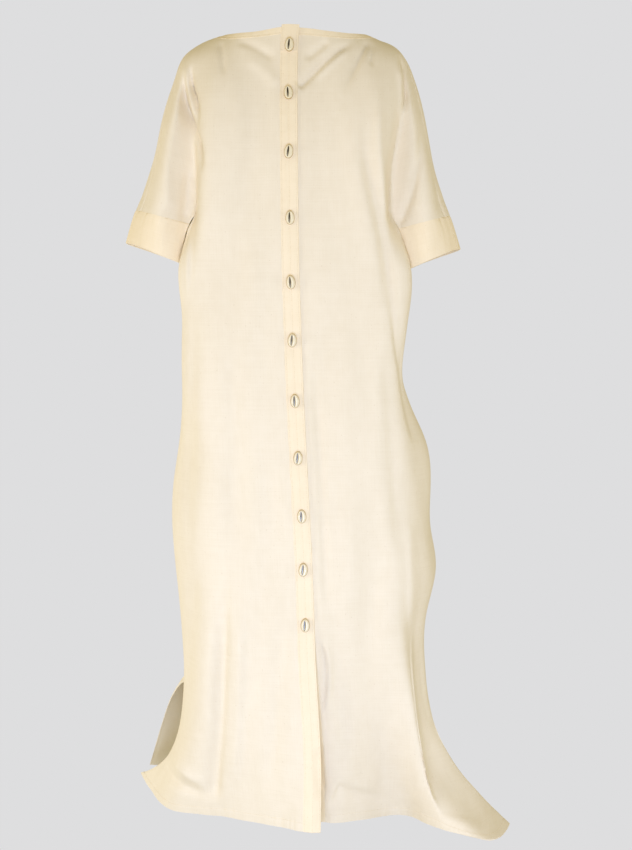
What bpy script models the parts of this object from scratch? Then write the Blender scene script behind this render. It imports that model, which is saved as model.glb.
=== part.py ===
"""A grand boubou robe of unbleached cotton, worn, as thin walls with nobody inside.

X runs across the robe (the wearer's right side is -X), the front faces -Y and Z is up.
The origin is between the shoulders at the height of the neck edge, where the wearer holds it up.
"""

from collections import namedtuple
import math

import bpy
import numpy as np
from mathutils import Matrix, Vector

MM = 0.001

# The lengths along the robe, measured down from the neck edge at the centre.
BAND_DROP = 13 * MM
HEAD_DROP = 44 * MM
SPLIT_DROP = 0.330
VENT_DROP = 1.195
HEM_DROP = 1.430

# The sleeves hang from the same yoke, and their cuffs are measured on the same scale.
CUFF_SEAM_DROP = 0.350
CUFF_HEM_DROP = 0.405

# Cloth thicknesses, with its air and creases, and the gap that touching pieces keep.
CLOTH = 1.3 * MM
DOUBLE_CLOTH = 2.2 * MM
GAP = 0.3 * MM
SEAM_INSET = GAP / 2

# The placket, and how far its top layer lies above the layer under it.
PLACKET_WIDTH = 30 * MM
PLACKET_LIFT = DOUBLE_CLOTH + GAP
HEAD_LIFT = PLACKET_LIFT + (DOUBLE_CLOTH + CLOTH) / 2 + GAP
LIFT_REACH = 25 * MM
HEAD_OVERHANG = 4 * MM

# A cowrie is cut flat at the back and sewn with its slit outwards.
COWRIE_WIDTH = 17.6 * MM
COWRIE_LENGTH = 24.6 * MM
COWRIE_HEIGHT = 7.5 * MM
COWRIE_SIDES = 12
THREAD_SHANK = 0.9 * MM

# How finely the walls are faceted.
FACETS_PER_SPAN = 3
PLACKET_COLUMNS = 2
BAND_LINES = np.array([0.0, BAND_DROP])
YOKE_LINES = np.concatenate([[BAND_DROP], np.linspace(HEAD_DROP, SPLIT_DROP, 9)])
BODY_LINES = np.linspace(SPLIT_DROP, HEM_DROP, 18)
SLEEVE_LINES = np.array([SPLIT_DROP, CUFF_SEAM_DROP])
CUFF_LINES = np.linspace(CUFF_SEAM_DROP, CUFF_HEM_DROP, 3)
HEAD_LINES = np.array([-HEAD_OVERHANG, 0.0, BAND_DROP, HEAD_DROP])
PLACKET_LINES = np.concatenate([[0.0], YOKE_LINES])
PROBE = 1e-4
SAME_POINT = 1e-6
SHARP_ANGLE = math.radians(50)

# Half a level section through the yoke and both upper arms, from the front centre round to the back.
# "drop" is also the height below the neck of the front and back centres, and "arm_drop" of the arm.
# "dip" is how much lower the section runs between the centre and the shoulder.
YokeRow = namedtuple(
    "YokeRow",
    "drop arm_drop dip sway centre front lobe_x lobe_front valley_x valley_front "
    "arm_x arm_front seam_x seam_y out_x out_y arm_back valley_back lobe_back back",
)
YOKE = (
    YokeRow(0.000, 0.007, 0.006, 0.000, -0.009, -0.088, 0.078, -0.074, 0.109, -0.055,
            0.1265, -0.034, 0.1335, -0.014, 0.1355, 0.004, 0.026, 0.045, 0.060, 0.069),
    YokeRow(0.013, 0.010, 0.005, -0.001, -0.010, -0.090, 0.082, -0.078, 0.118, -0.059,
            0.1390, -0.037, 0.1480, -0.015, 0.1510, 0.005, 0.028, 0.049, 0.065, 0.074),
    YokeRow(0.045, 0.028, 0.003, -0.002, -0.011, -0.095, 0.105, -0.087, 0.151, -0.070,
            0.1745, -0.046, 0.1840, -0.020, 0.1875, 0.005, 0.035, 0.058, 0.074, 0.085),
    YokeRow(0.100, 0.075, 0.000, -0.002, -0.0115, -0.107, 0.140, -0.104, 0.184, -0.077,
            0.2010, -0.062, 0.2110, -0.030, 0.2150, 0.003, 0.052, 0.067, 0.090, 0.100),
    YokeRow(0.170, 0.145, 0.000, -0.003, -0.0112, -0.121, 0.155, -0.118, 0.188, -0.073,
            0.2110, -0.077, 0.2295, -0.038, 0.2350, 0.004, 0.070, 0.068, 0.103, 0.111),
    YokeRow(0.250, 0.225, 0.000, -0.003, -0.0107, -0.128, 0.157, -0.122, 0.176, -0.064,
            0.2190, -0.084, 0.2460, -0.043, 0.2525, 0.005, 0.082, 0.066, 0.109, 0.117),
    YokeRow(SPLIT_DROP, 0.300, 0.000, -0.004, -0.0097, -0.130, 0.160, -0.120, 0.175, -0.056,
            0.2280, -0.086, 0.2645, -0.045, 0.2735, 0.005, 0.087, 0.060, 0.112, 0.120),
)

# Half a section through the body below the arms. "side" is where the front and back panels meet.
BodyRow = namedtuple(
    "BodyRow",
    "drop sway centre front lobe_x lobe_front flank_x flank_front side_x side_y flank_back "
    "lobe_back back",
)
BODY = (
    BodyRow(0.410, -0.001, -0.0085, -0.130, 0.163, -0.117, 0.196, -0.078, 0.170, 0.000,
            0.083, 0.118, 0.125),
    BodyRow(0.500, 0.001, -0.0058, -0.130, 0.163, -0.116, 0.203, -0.074, 0.188, 0.002,
            0.088, 0.123, 0.130),
    BodyRow(0.620, -0.006, -0.0013, -0.130, 0.161, -0.115, 0.198, -0.068, 0.198, 0.006,
            0.093, 0.129, 0.136),
    BodyRow(0.750, 0.012, 0.0045, -0.132, 0.163, -0.115, 0.206, -0.064, 0.2295, 0.012,
            0.101, 0.136, 0.143),
    BodyRow(0.900, 0.010, 0.0126, -0.134, 0.166, -0.115, 0.217, -0.062, 0.2390, 0.018,
            0.110, 0.146, 0.153),
    BodyRow(0.975, 0.018, 0.0160, -0.135, 0.167, -0.114, 0.219, -0.060, 0.2405, 0.020,
            0.115, 0.151, 0.160),
    BodyRow(1.060, 0.015, 0.0188, -0.135, 0.165, -0.112, 0.212, -0.057, 0.2290, 0.023,
            0.121, 0.159, 0.170),
    BodyRow(1.170, 0.015, 0.0245, -0.134, 0.164, -0.109, 0.207, -0.053, 0.2250, 0.030,
            0.132, 0.173, 0.188),
    BodyRow(1.300, 0.015, 0.0330, -0.131, 0.165, -0.103, 0.211, -0.046, 0.2330, 0.040,
            0.150, 0.195, 0.215),
    BodyRow(HEM_DROP, 0.015, 0.0340, -0.126, 0.166, -0.095, 0.214, -0.040, 0.2420, 0.050,
            0.168, 0.218, 0.240),
)

# A section through one sleeve below the underarm, square to the sleeve.
SleeveRow = namedtuple(
    "SleeveRow",
    "drop out_drop in_drop inner_x inner_front arm_x arm_front seam_x seam_y out_x out_y "
    "arm_back inner_back middle_x",
)
SLEEVE = (
    SleeveRow(CUFF_SEAM_DROP, 0.326, 0.349, 0.1870, -0.060, 0.2350, -0.086, 0.2740, -0.045,
              0.2825, 0.005, 0.087, 0.062, 0.1840),
    SleeveRow(CUFF_HEM_DROP, 0.385, 0.420, 0.2040, -0.060, 0.2480, -0.085, 0.2920, -0.045,
              0.3005, 0.005, 0.084, 0.060, 0.1930),
)
UNDERARM_X = 0.176
ARM_SLOPE = 0.014
UNDERARM_SHARE = 0.27
LOBE_SHARE = 0.12
ARM_SHARE = 0.68
SLEEVE_ARM_SHARE = 0.50
CHEST_DEPTH_SHARE = 0.22
DIP_SHARES = (0, 0.5, 1, 0.8, 0.2, 0, 0, 0, 0, 0, 0, 0)

# Where each stretch of the hem reaches, counted in spans from the panel's inner edge. It leaves the
# body's section at "start" and bends out the faster towards the floor the higher "power" is.
HemPoint = namedtuple("HemPoint", "span x y drop start power")
HEMS = {
    "right": (
        HemPoint(0.0, 0.030, -0.143, HEM_DROP, 1.060, 1.2),
        HemPoint(0.6, -0.018, -0.117, HEM_DROP, 1.060, 1.3),
        HemPoint(1.3, -0.087, -0.072, HEM_DROP, 1.000, 1.5),
        HemPoint(2.2, -0.170, -0.028, HEM_DROP, 1.100, 1.8),
        HemPoint(3.0, -0.243, 0.018, HEM_DROP, 1.170, 2.6),
        HemPoint(3.5, -0.276, 0.090, 1.422, 1.180, 3.0),
        HemPoint(4.0, -0.307, 0.185, 1.409, VENT_DROP, 3.2),
    ),
    "left": (
        HemPoint(0.0, 0.037, -0.077, HEM_DROP, 1.060, 1.0),
        HemPoint(0.9, 0.121, -0.067, HEM_DROP, 1.050, 1.2),
        HemPoint(1.7, 0.204, -0.037, HEM_DROP, 1.050, 1.7),
        HemPoint(2.2, 0.250, -0.105, HEM_DROP, 0.980, 1.5),
        HemPoint(2.8, 0.300, -0.160, HEM_DROP, 1.170, 4.0),
        HemPoint(3.4, 0.350, -0.186, HEM_DROP, 1.180, 4.0),
        HemPoint(4.0, 0.388, -0.090, HEM_DROP, 1.150, 2.8),
    ),
    "back": (
        HemPoint(0.0, -0.302, 0.290, 1.417, VENT_DROP, 0.7),
        HemPoint(1.5, -0.215, 0.300, 1.425, 1.050, 1.4),
        HemPoint(3.0, -0.080, 0.295, HEM_DROP, 1.000, 1.5),
        HemPoint(4.5, 0.040, 0.265, HEM_DROP, 1.000, 1.5),
        HemPoint(6.2, 0.175, 0.285, HEM_DROP, 1.020, 1.5),
        HemPoint(8.0, 0.300, 0.085, HEM_DROP, VENT_DROP, 1.8),
    ),
}

# The largest folds, as soft troughs (depth below 0) and ridges along a bent line over the front or
# the back: where the line starts, bends and ends, its half width, and its depth in the middle.
# It fades over FOLD_END of its length, and where the cloth faces less than FACING that way.
Fold = namedtuple("Fold", "facing x0 drop0 x1 drop1 x2 drop2 half_width depth")
FOLDS = (
    Fold("front", -0.198, 0.070, -0.186, 0.150, -0.166, 0.240, 0.013, -0.010),
    Fold("front", 0.192, 0.060, 0.194, 0.110, 0.190, 0.170, 0.012, -0.009),
    Fold("front", 0.020, 0.110, 0.062, 0.060, 0.105, 0.020, 0.010, -0.004),
    Fold("front", 0.150, 0.230, 0.170, 0.360, 0.178, 0.560, 0.016, -0.006),
    Fold("front", -0.120, 0.980, -0.125, 1.200, -0.130, 1.380, 0.022, -0.007),
    Fold("front", 0.130, 0.700, 0.135, 0.950, 0.120, 1.250, 0.030, -0.005),
    Fold("back", -0.090, 0.300, -0.080, 0.800, -0.085, 1.350, 0.035, -0.009),
    Fold("back", 0.080, 0.400, 0.095, 0.850, 0.110, 1.380, 0.038, -0.010),
    Fold("back", 0.000, 0.550, 0.005, 1.000, 0.000, 1.400, 0.030, 0.008),
)
FOLD_END = 0.25
FOLD_POINTS = 16
FACING = 0.5

# Each button: how far down the placket, how it leans, and how far off its middle it is sewn.
Button = namedtuple("Button", "drop lean aside")
BUTTONS = (
    Button(0.034, -4, 0.8 * MM),
    Button(0.120, 5, 0.0),
    Button(0.223, -5, 0.0),
    Button(0.338, 2, 1.0 * MM),
    Button(0.451, 6, 0.0),
    Button(0.553, -3, -1.0 * MM),
    Button(0.660, 4, -0.5 * MM),
    Button(0.761, -2, 0.0),
    Button(0.864, 3, 1.0 * MM),
    Button(0.959, -4, -1.0 * MM),
    Button(1.058, 0, -1.0 * MM),
)

# A cowrie's rings from its flat back to the bottom of its slit, as shares of its size.
CowrieRing = namedtuple("CowrieRing", "width length height aside")
COWRIE_RINGS = (
    CowrieRing(0.92, 0.94, 0.00, 0.00),
    CowrieRing(1.00, 1.00, 0.35, 0.00),
    CowrieRing(0.78, 0.84, 0.85, 0.00),
    CowrieRing(0.42, 0.72, 1.00, -0.03),
    CowrieRing(0.12, 0.66, 0.88, -0.08),
    CowrieRing(0.06, 0.60, 0.45, -0.08),
)
COWRIE_NARROWING = 0.14

COTTON = ("unbleached_cotton", (0.84, 0.77, 0.62), 0.9)
DOUBLED_COTTON = ("doubled_cotton", (0.90, 0.81, 0.62), 0.9)
SHELL = ("cowrie_shell", (0.86, 0.77, 0.58), 0.35)


def clear_scene():
    for found in list(bpy.data.objects):
        bpy.data.objects.remove(found, do_unlink=True)


def make_material(name, colour, roughness):
    material = bpy.data.materials.new(name)
    material.use_nodes = True
    shader = material.node_tree.nodes["Principled BSDF"]
    shader.inputs["Base Color"].default_value = (*colour, 1.0)
    shader.inputs["Roughness"].default_value = roughness
    shader.inputs["Metallic"].default_value = 0.0
    return material


def row_weights(knots, at):
    """How much each knot's value counts at each place: a natural cubic, straight past its ends."""
    knots = np.asarray(knots, float)
    count = len(knots)
    step = np.diff(knots)
    left = np.eye(count)
    right = np.zeros((count, count))
    for i in range(1, count - 1):
        before, after = step[i - 1], step[i]
        left[i, i - 1 : i + 2] = before, 2 * (before + after), after
        right[i, i - 1 : i + 2] = 6 / before, -6 / before - 6 / after, 6 / after
    bend = np.linalg.solve(left, right)
    one = np.eye(count)
    k = np.clip(np.searchsorted(knots, at) - 1, 0, count - 2)
    inside = np.clip(at, knots[0], knots[-1])
    h = step[k][:, None]
    b = ((inside - knots[k]) / step[k])[:, None]
    a = 1 - b
    value = a * one[k] + b * one[k + 1]
    value += ((a**3 - a) * bend[k] + (b**3 - b) * bend[k + 1]) * h**2 / 6
    slope = (one[k + 1] - one[k]) / h
    slope += ((3 * b**2 - 1) * bend[k + 1] - (3 * a**2 - 1) * bend[k]) * h / 6
    return value + (at - inside)[:, None] * slope


def ring_weights(count, at):
    """The same for a closed ring of evenly counted points."""
    one = np.eye(count)
    ahead = np.roll(one, 1, axis=1)
    behind = np.roll(one, -1, axis=1)
    bend = np.linalg.solve(4 * one + ahead + behind, 6 * (ahead + behind - 2 * one))
    k = np.floor(at).astype(int)
    b = (at - k)[:, None]
    a = 1 - b
    after = (k + 1) % count
    k = k % count
    return a * one[k] + b * one[after] + ((a**3 - a) * bend[k] + (b**3 - b) * bend[after]) / 6


def mix(a, b, share):
    return a + (b - a) * share


def smooth_step(t):
    t = np.clip(t, 0.0, 1.0)
    return t * t * (3 - 2 * t)


def front_points(row, side):
    """Front centre, chest and lobe of a yoke or body row, for the side's sign."""
    chest_y = mix(row.front, row.lobe_front, CHEST_DEPTH_SHARE)
    lobe_x = row.sway + side * row.lobe_x
    return [(row.centre, row.front), (mix(row.centre, lobe_x, 0.5), chest_y), (lobe_x, row.lobe_front)]


def back_points(row, side):
    """Lobe, shoulder blade and centre of the back."""
    blade_y = mix(row.back, row.lobe_back, CHEST_DEPTH_SHARE)
    lobe_x = row.sway + side * row.lobe_x
    return [(lobe_x, row.lobe_back), (mix(row.sway, lobe_x, 0.5), blade_y), (row.sway, row.back)]


def yoke_half(row, side):
    """Twelve (x, y, z) points of the yoke's section, from the front centre to the back centre."""
    arm_z = -row.arm_drop * (1 + side * ARM_SLOPE)
    shares = (0, 0, LOBE_SHARE, UNDERARM_SHARE, ARM_SHARE, 1, 1, ARM_SHARE)
    shares += (UNDERARM_SHARE, LOBE_SHARE, 0, 0)
    flat = front_points(row, side)
    flat += [(row.sway + side * x, y) for x, y in (
        (row.valley_x, row.valley_front),
        (row.arm_x, row.arm_front),
        (row.seam_x, row.seam_y),
        (row.out_x, row.out_y),
        (row.arm_x, row.arm_back),
        (row.valley_x, row.valley_back),
    )]
    flat += back_points(row, side)
    return [
        (x, y, mix(-row.drop, arm_z, share) - row.dip * dip)
        for (x, y), share, dip in zip(flat, shares, DIP_SHARES)
    ]


def body_half(row, side):
    """Nine points of the body's section."""
    flat = front_points(row, side)
    flat += [(row.sway + side * x, y) for x, y in (
        (row.flank_x, row.flank_front),
        (row.side_x, row.side_y),
        (row.flank_x, row.flank_back),
    )]
    flat += back_points(row, side)
    return [(x, y, -row.drop) for x, y in flat]


def sleeve_ring(row, sway, side):
    """Seven points round a sleeve: front of the underarm, arm, seam, outside, arm, back, underarm."""
    outer = -row.out_drop * (1 + side * ARM_SLOPE)
    inner = -row.in_drop * (1 + side * ARM_SLOPE)
    points = (
        (row.inner_x, row.inner_front, inner),
        (row.arm_x, row.arm_front, mix(inner, outer, SLEEVE_ARM_SHARE)),
        (row.seam_x, row.seam_y, outer),
        (row.out_x, row.out_y, outer),
        (row.arm_x, row.arm_back, mix(inner, outer, SLEEVE_ARM_SHARE)),
        (row.inner_x, row.inner_back, inner),
        (row.middle_x, 0.0, inner),
    )
    return [(sway + side * x, y, z) for x, y, z in points]


def full_ring(half, row):
    """The whole section: down the wearer's right (-X) half and back up the left one."""
    right = half(row, -1)
    left = half(row, 1)
    return right + left[-2:0:-1]


YOKE_RING = np.array([full_ring(yoke_half, row) for row in YOKE])
YOKE_DROPS = [row.drop for row in YOKE]
YOKE_SPANS = YOKE_RING.shape[1]

# Columns of the yoke's section: the valleys beside the arms, the overarm seams and the back centre.
VALLEY = 3
RIGHT_SEAM = 5
BACK_VALLEY = 8
BACK_CENTRE = 11
LEFT_BACK_VALLEY = YOKE_SPANS - BACK_VALLEY
LEFT_SEAM = YOKE_SPANS - RIGHT_SEAM
LEFT_VALLEY = YOKE_SPANS - VALLEY

# Columns of the body's section where its front and back panels meet.
BODY_SPANS = 16
RIGHT_SIDE = 4
LEFT_SIDE = BODY_SPANS - RIGHT_SIDE

# Columns of a sleeve's section: its seam, the back of the underarm and the underarm's middle.
SLEEVE_SPANS = 7
SLEEVE_SEAM = 2
SLEEVE_BACK = 5
SLEEVE_MIDDLE = 6


def underarm(side):
    """Where the body and a sleeve part, between the arm and the chest."""
    return [YOKE[-1].sway + side * UNDERARM_X, 0.0, YOKE_RING[-1][VALLEY if side < 0 else LEFT_VALLEY][2]]


def body_rings():
    """The body's sections. The first ones follow the yoke's, so that its lines run straight on."""
    rings = []
    for ring in YOKE_RING:
        right = [*ring[: VALLEY + 1], underarm(-1), *ring[BACK_VALLEY : BACK_CENTRE + 1]]
        left = [*ring[BACK_CENTRE + 1 : LEFT_BACK_VALLEY + 1], underarm(1), *ring[LEFT_VALLEY:]]
        rings.append(right + left)
    rings += [full_ring(body_half, row) for row in BODY]
    return np.array(rings)


BODY_RING = body_rings()
BODY_DROPS = YOKE_DROPS + [row.drop for row in BODY]


def sleeve_rings(side):
    """One sleeve's sections, the first ones from the yoke."""
    if side < 0:
        columns = range(VALLEY, BACK_VALLEY + 1)
    else:
        columns = range(LEFT_VALLEY, LEFT_BACK_VALLEY - 1, -1)
    rings = [[*ring[columns], underarm(side)] for ring in YOKE_RING]
    rings += [sleeve_ring(row, YOKE[-1].sway, side) for row in SLEEVE]
    return np.array(rings)


SLEEVE_RING = {side: sleeve_rings(side) for side in (-1, 1)}
SLEEVE_DROPS = YOKE_DROPS + [row.drop for row in SLEEVE]


def loft(rings, drops, u, v, first=0):
    """The point on a stack of closed sections at ring place u and drop v."""
    rings = rings[first:]
    drops = drops[first:]
    rows = row_weights(drops, v)
    across = ring_weights(rings.shape[1], u)
    points = (rows @ rings.reshape(len(drops), -1)).reshape(len(v), rings.shape[1], 3)
    return np.einsum("nc,ncd->nd", across, points)


def hem_pull(panel, span, v):
    """How far a panel's stretch is pulled from the body's section towards its place at the hem."""
    points = HEMS[panel]
    knots = [point.span for point in points]
    home = loft(BODY_RING, BODY_DROPS, hem_place(panel, knots), np.full(len(knots), HEM_DROP))
    pull = np.zeros((len(v), 3))
    weights = row_weights(knots, np.clip(span, knots[0], knots[-1]))
    for k, point in enumerate(points):
        reach = np.clip((v - point.start) / (HEM_DROP - point.start), 0.0, None) ** point.power
        target = np.array([point.x, point.y, -point.drop])
        pull += (weights[:, k] * reach)[:, None] * (target - home[k])
    return pull


def hem_place(panel, span):
    """The body ring's place of a panel's span."""
    span = np.asarray(span, float)
    if panel == "right":
        return span
    if panel == "left":
        return BODY_SPANS - span
    return RIGHT_SIDE + span


def panel_span(panel, u):
    """The panel's span at a ring place. A front panel's pull stays level past the front centre."""
    if panel == "back":
        return u - RIGHT_SIDE
    signed = (u + BODY_SPANS / 2) % BODY_SPANS - BODY_SPANS / 2
    return np.maximum(signed if panel == "right" else -signed, 0.0)


def bent_line(fold):
    """Points along a fold's line in the (x, drop) plane."""
    t = np.linspace(0.0, 1.0, FOLD_POINTS)[:, None]
    start = np.array([fold.x0, fold.drop0])
    bend = np.array([fold.x1, fold.drop1])
    end = np.array([fold.x2, fold.drop2])
    through = 2 * bend - (start + end) / 2
    return (1 - t) ** 2 * start + 2 * t * (1 - t) * through + t**2 * end


def fold_heights(points, normals):
    """The sum of the folds at each point, measured along its normal."""
    height = np.zeros(len(points))
    seen = np.stack([points[:, 0], -points[:, 2]], axis=1)
    for fold in FOLDS:
        line = bent_line(fold)
        along = np.zeros(len(points))
        nearest = np.full(len(points), np.inf)
        for k in range(len(line) - 1):
            leg = line[k + 1] - line[k]
            t = np.clip((seen - line[k]) @ leg / (leg @ leg), 0.0, 1.0)
            away = np.linalg.norm(seen - line[k] - t[:, None] * leg, axis=1)
            closer = away < nearest
            nearest = np.where(closer, away, nearest)
            along = np.where(closer, (k + t) / (len(line) - 1), along)
        facing = -normals[:, 1] if fold.facing == "front" else normals[:, 1]
        shape = np.exp(-((nearest / fold.half_width) ** 2))
        ends = smooth_step(along / FOLD_END) * smooth_step((1 - along) / FOLD_END)
        height += fold.depth * shape * ends * smooth_step(facing / FACING)
    return height


class Surface:
    """One stretch of the robe's smooth middle surface."""

    def __init__(self, kind, panel="", side=0):
        self.kind = kind
        self.panel = panel
        self.side = side

    def bare(self, u, v):
        if self.kind == "yoke":
            return loft(YOKE_RING, YOKE_DROPS, u, v)
        if self.kind == "sleeve":
            at = loft(SLEEVE_RING[self.side], SLEEVE_DROPS, u, v)
            return at + self.sleeve_fit(u) * fade(v, SPLIT_DROP, CUFF_HEM_DROP - SPLIT_DROP)
        at = loft(BODY_RING, BODY_DROPS, u, v)
        at += body_fit(u) * fade(v, SPLIT_DROP, 0.10)
        return at + hem_pull(self.panel, panel_span(self.panel, u), v)

    def sleeve_fit(self, u):
        """What brings a sleeve's top row onto the rows of the yoke and the body that it meets."""
        split = np.full(len(u), SPLIT_DROP)
        own = loft(SLEEVE_RING[self.side], SLEEVE_DROPS, u, split)
        u = u % SLEEVE_SPANS
        if self.side < 0:
            yoke_u = VALLEY + u
            body_u = RIGHT_SIDE + SLEEVE_MIDDLE - u
        else:
            yoke_u = LEFT_VALLEY - u
            body_u = LEFT_SIDE - SLEEVE_MIDDLE + u
        on_yoke = loft(YOKE_RING, YOKE_DROPS, yoke_u, split)
        on_body = loft(BODY_RING, BODY_DROPS, body_u, split)
        return np.where((u <= SLEEVE_BACK)[:, None], on_yoke, on_body) - own

    def normals(self, u, v, low, high):
        ahead = np.minimum(v + PROBE, high)
        behind = np.maximum(v - PROBE, low)
        down = self.bare(u, ahead) - self.bare(u, behind)
        around = self.bare(u + PROBE, v) - self.bare(u - PROBE, v)
        if self.kind == "sleeve" and self.side > 0:
            around = -around
        found = np.cross(around, down)
        return found / np.linalg.norm(found, axis=1)[:, None]


def fade(v, start, reach):
    t = np.clip((v - start) / reach, 0.0, 1.0)
    return ((1 - t) ** 2 * (1 + 2 * t))[:, None]


def body_fit(u):
    """What brings the body's top row onto the yoke's last row, where they share one."""
    split = np.full(len(u), SPLIT_DROP)
    own = loft(BODY_RING, BODY_DROPS, u, split)
    u = u % BODY_SPANS
    right_front = u <= RIGHT_SIDE - 1
    left_front = u >= LEFT_SIDE + 1
    back = (u >= RIGHT_SIDE + 1) & (u <= LEFT_SIDE - 1)
    on_yoke = (u, u + YOKE_SPANS - BODY_SPANS, u + BACK_VALLEY - RIGHT_SIDE - 1)
    yoke_u = np.select([right_front, left_front, back], on_yoke, 0.0)
    shared = (right_front | left_front | back)[:, None]
    return np.where(shared, loft(YOKE_RING, YOKE_DROPS, yoke_u, split) - own, 0.0)


def spans(first, last, per_span=FACETS_PER_SPAN):
    """Ring places from one control column to another."""
    return np.linspace(first, last, int(round(abs(last - first) * per_span)) + 1)


def edge_place(surface, v, sign):
    """The ring places of the placket's edge at each drop."""
    zero = np.zeros(len(v))
    width = surface.bare(zero + PROBE, v) - surface.bare(zero - PROBE, v)
    return sign * PLACKET_WIDTH / 2 / (np.linalg.norm(width, axis=1) / (2 * PROBE))


class Patch:
    """A grid of points and normals on a surface."""

    def __init__(self, surface, u, v, low, high, flip=False):
        self.shape = u.shape
        flat_u = u.ravel()
        flat_v = v.ravel()
        self.points = surface.bare(flat_u, flat_v)
        self.normals = surface.normals(flat_u, flat_v, low, high)
        self.flip = flip

    def faces(self, start):
        rows, columns = self.shape
        index = np.arange(rows * columns).reshape(rows, columns) + start
        a, b = index[:-1, :-1].ravel(), index[:-1, 1:].ravel()
        c, d = index[1:, 1:].ravel(), index[1:, :-1].ravel()
        order = (a, b, c, d) if not self.flip else (a, d, c, b)
        return np.stack(order, axis=1)


def grid(columns, rows):
    """Matching arrays of ring places and drops, the places given once or for each row."""
    columns = np.asarray(columns, float)
    if columns.ndim == 1:
        columns = np.repeat(columns[None], len(rows), axis=0)
    return columns, np.repeat(np.asarray(rows, float)[:, None], columns.shape[1], axis=1)


def weld(patches):
    """The patches as one sheet with its folds: shared points made one, their normals averaged."""
    points = np.concatenate([patch.points for patch in patches])
    normals = np.concatenate([patch.normals for patch in patches])
    starts = np.cumsum([0] + [len(patch.points) for patch in patches])
    faces = np.concatenate([patch.faces(start) for patch, start in zip(patches, starts)])
    rounded = np.round(points / SAME_POINT).astype(np.int64)
    _, first, index = np.unique(rounded, axis=0, return_index=True, return_inverse=True)
    index = index.reshape(-1)
    summed = np.zeros((len(first), 3))
    np.add.at(summed, index, normals)
    summed /= np.linalg.norm(summed, axis=1)[:, None]
    points = points[first]
    return points + summed * fold_heights(points, summed)[:, None], summed, index[faces]


def rim_edges(faces):
    """The sheet's open edges, in the direction of their faces."""
    ends = np.concatenate([faces[:, [k, (k + 1) % 4]] for k in range(4)])
    key = np.sort(ends, axis=1)
    _, index, count = np.unique(key, axis=0, return_inverse=True, return_counts=True)
    return ends[count[index.reshape(-1)] == 1]


def draw_in(points, faces, amount):
    """Moves the sheet's rim inwards, which leaves the gap between it and its neighbours."""
    rim = rim_edges(faces)
    centres = points[faces].mean(axis=1)
    inward = np.zeros_like(points)
    for corner in range(4):
        np.add.at(inward, faces[:, corner], centres - points[faces[:, corner]])
    tangent = np.zeros_like(points)
    step = points[rim[:, 1]] - points[rim[:, 0]]
    step /= np.linalg.norm(step, axis=1)[:, None]
    np.add.at(tangent, rim[:, 0], step)
    np.add.at(tangent, rim[:, 1], step)
    on_rim = np.unique(rim)
    along = tangent[on_rim]
    along /= np.linalg.norm(along, axis=1)[:, None]
    move = inward[on_rim]
    move -= (move * along).sum(axis=1)[:, None] * along
    move /= np.linalg.norm(move, axis=1)[:, None]
    points = points.copy()
    points[on_rim] += move * amount
    return points


def in_triangles(points, faces):
    """Each four-sided face as two triangles, split across its shorter diagonal."""
    a, b, c, d = faces.T
    across = np.linalg.norm(points[a] - points[c], axis=1)
    other = np.linalg.norm(points[b] - points[d], axis=1)
    first = np.where(across <= other, (a, b, c), (a, b, d))
    second = np.where(across <= other, (a, c, d), (b, c, d))
    return np.concatenate([first.T, second.T])


def make_wall(name, patches, thickness, material, offset=0.0, lift=None):
    """A closed wall round the sheet that the patches form. Its two skins are split alike."""
    points, normals, faces = weld(patches)
    points = draw_in(points, faces, SEAM_INSET)
    raised = offset + (lift(points) if lift else 0.0)
    raised = np.broadcast_to(raised, len(points))[:, None]
    outer = points + normals * (raised + thickness / 2)
    inner = points + normals * (raised - thickness / 2)
    count = len(points)
    skin = in_triangles(points, faces)
    start, end = rim_edges(faces).T
    sides = np.concatenate([
        np.stack([end, start, start + count], axis=1),
        np.stack([end, start + count, end + count], axis=1),
    ])
    every = np.concatenate([skin, skin[:, ::-1] + count, sides])
    return make_object(name, np.concatenate([outer, inner]), every, material)


def make_object(name, points, faces, material):
    mesh = bpy.data.meshes.new(name)
    mesh.from_pydata(points.tolist(), [], [list(map(int, face)) for face in faces])
    mesh.validate()
    mesh.update()
    mesh.shade_smooth()
    mesh.set_sharp_from_angle(angle=SHARP_ANGLE)
    mesh.materials.append(material)
    made = bpy.data.objects.new(name, mesh)
    bpy.context.scene.collection.objects.link(made)
    return made


def placket_lift(points):
    """How far the front's right panel rises to meet the placket's top layer."""
    middle = np.interp(-points[:, 2], BODY_DROPS, BODY_RING[:, 0, 0])
    away = np.maximum(middle - PLACKET_WIDTH / 2 - points[:, 0], 0.0)
    return PLACKET_LIFT * np.exp(-((away / LIFT_REACH) ** 2))


def front_patches(panel):
    """A front panel: its share of the yoke, of the body and of one sleeve."""
    sign = 1 if panel == "right" else -1
    patches = []
    for surface, lines, last, total, low in (
        (Surface("yoke"), YOKE_LINES, RIGHT_SEAM, YOKE_SPANS, 0.0),
        (Surface("body", panel), BODY_LINES, RIGHT_SIDE, BODY_SPANS, SPLIT_DROP),
    ):
        u, v = grid(from_placket(surface, lines, sign, last), lines)
        patches.append(Patch(surface, u % total, v, low, HEM_DROP, flip=sign < 0))
    u, v = grid(spans(SLEEVE_MIDDLE - SLEEVE_SPANS, SLEEVE_SEAM), SLEEVE_LINES)
    sleeve = Surface("sleeve", side=-sign)
    patches.append(Patch(sleeve, u % SLEEVE_SPANS, v, SPLIT_DROP, CUFF_HEM_DROP, flip=sign < 0))
    return patches


def from_placket(surface, lines, sign, last):
    """Ring places for each line, from the placket's edge to the last column."""
    near = np.linspace(0.0, 1.0, FACETS_PER_SPAN + 1)
    edge = edge_place(surface, lines, sign)[:, None]
    far = np.repeat(sign * spans(1, last)[None, 1:], len(lines), axis=0)
    return np.concatenate([edge * (1 - near) + sign * near, far], axis=1)


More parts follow.
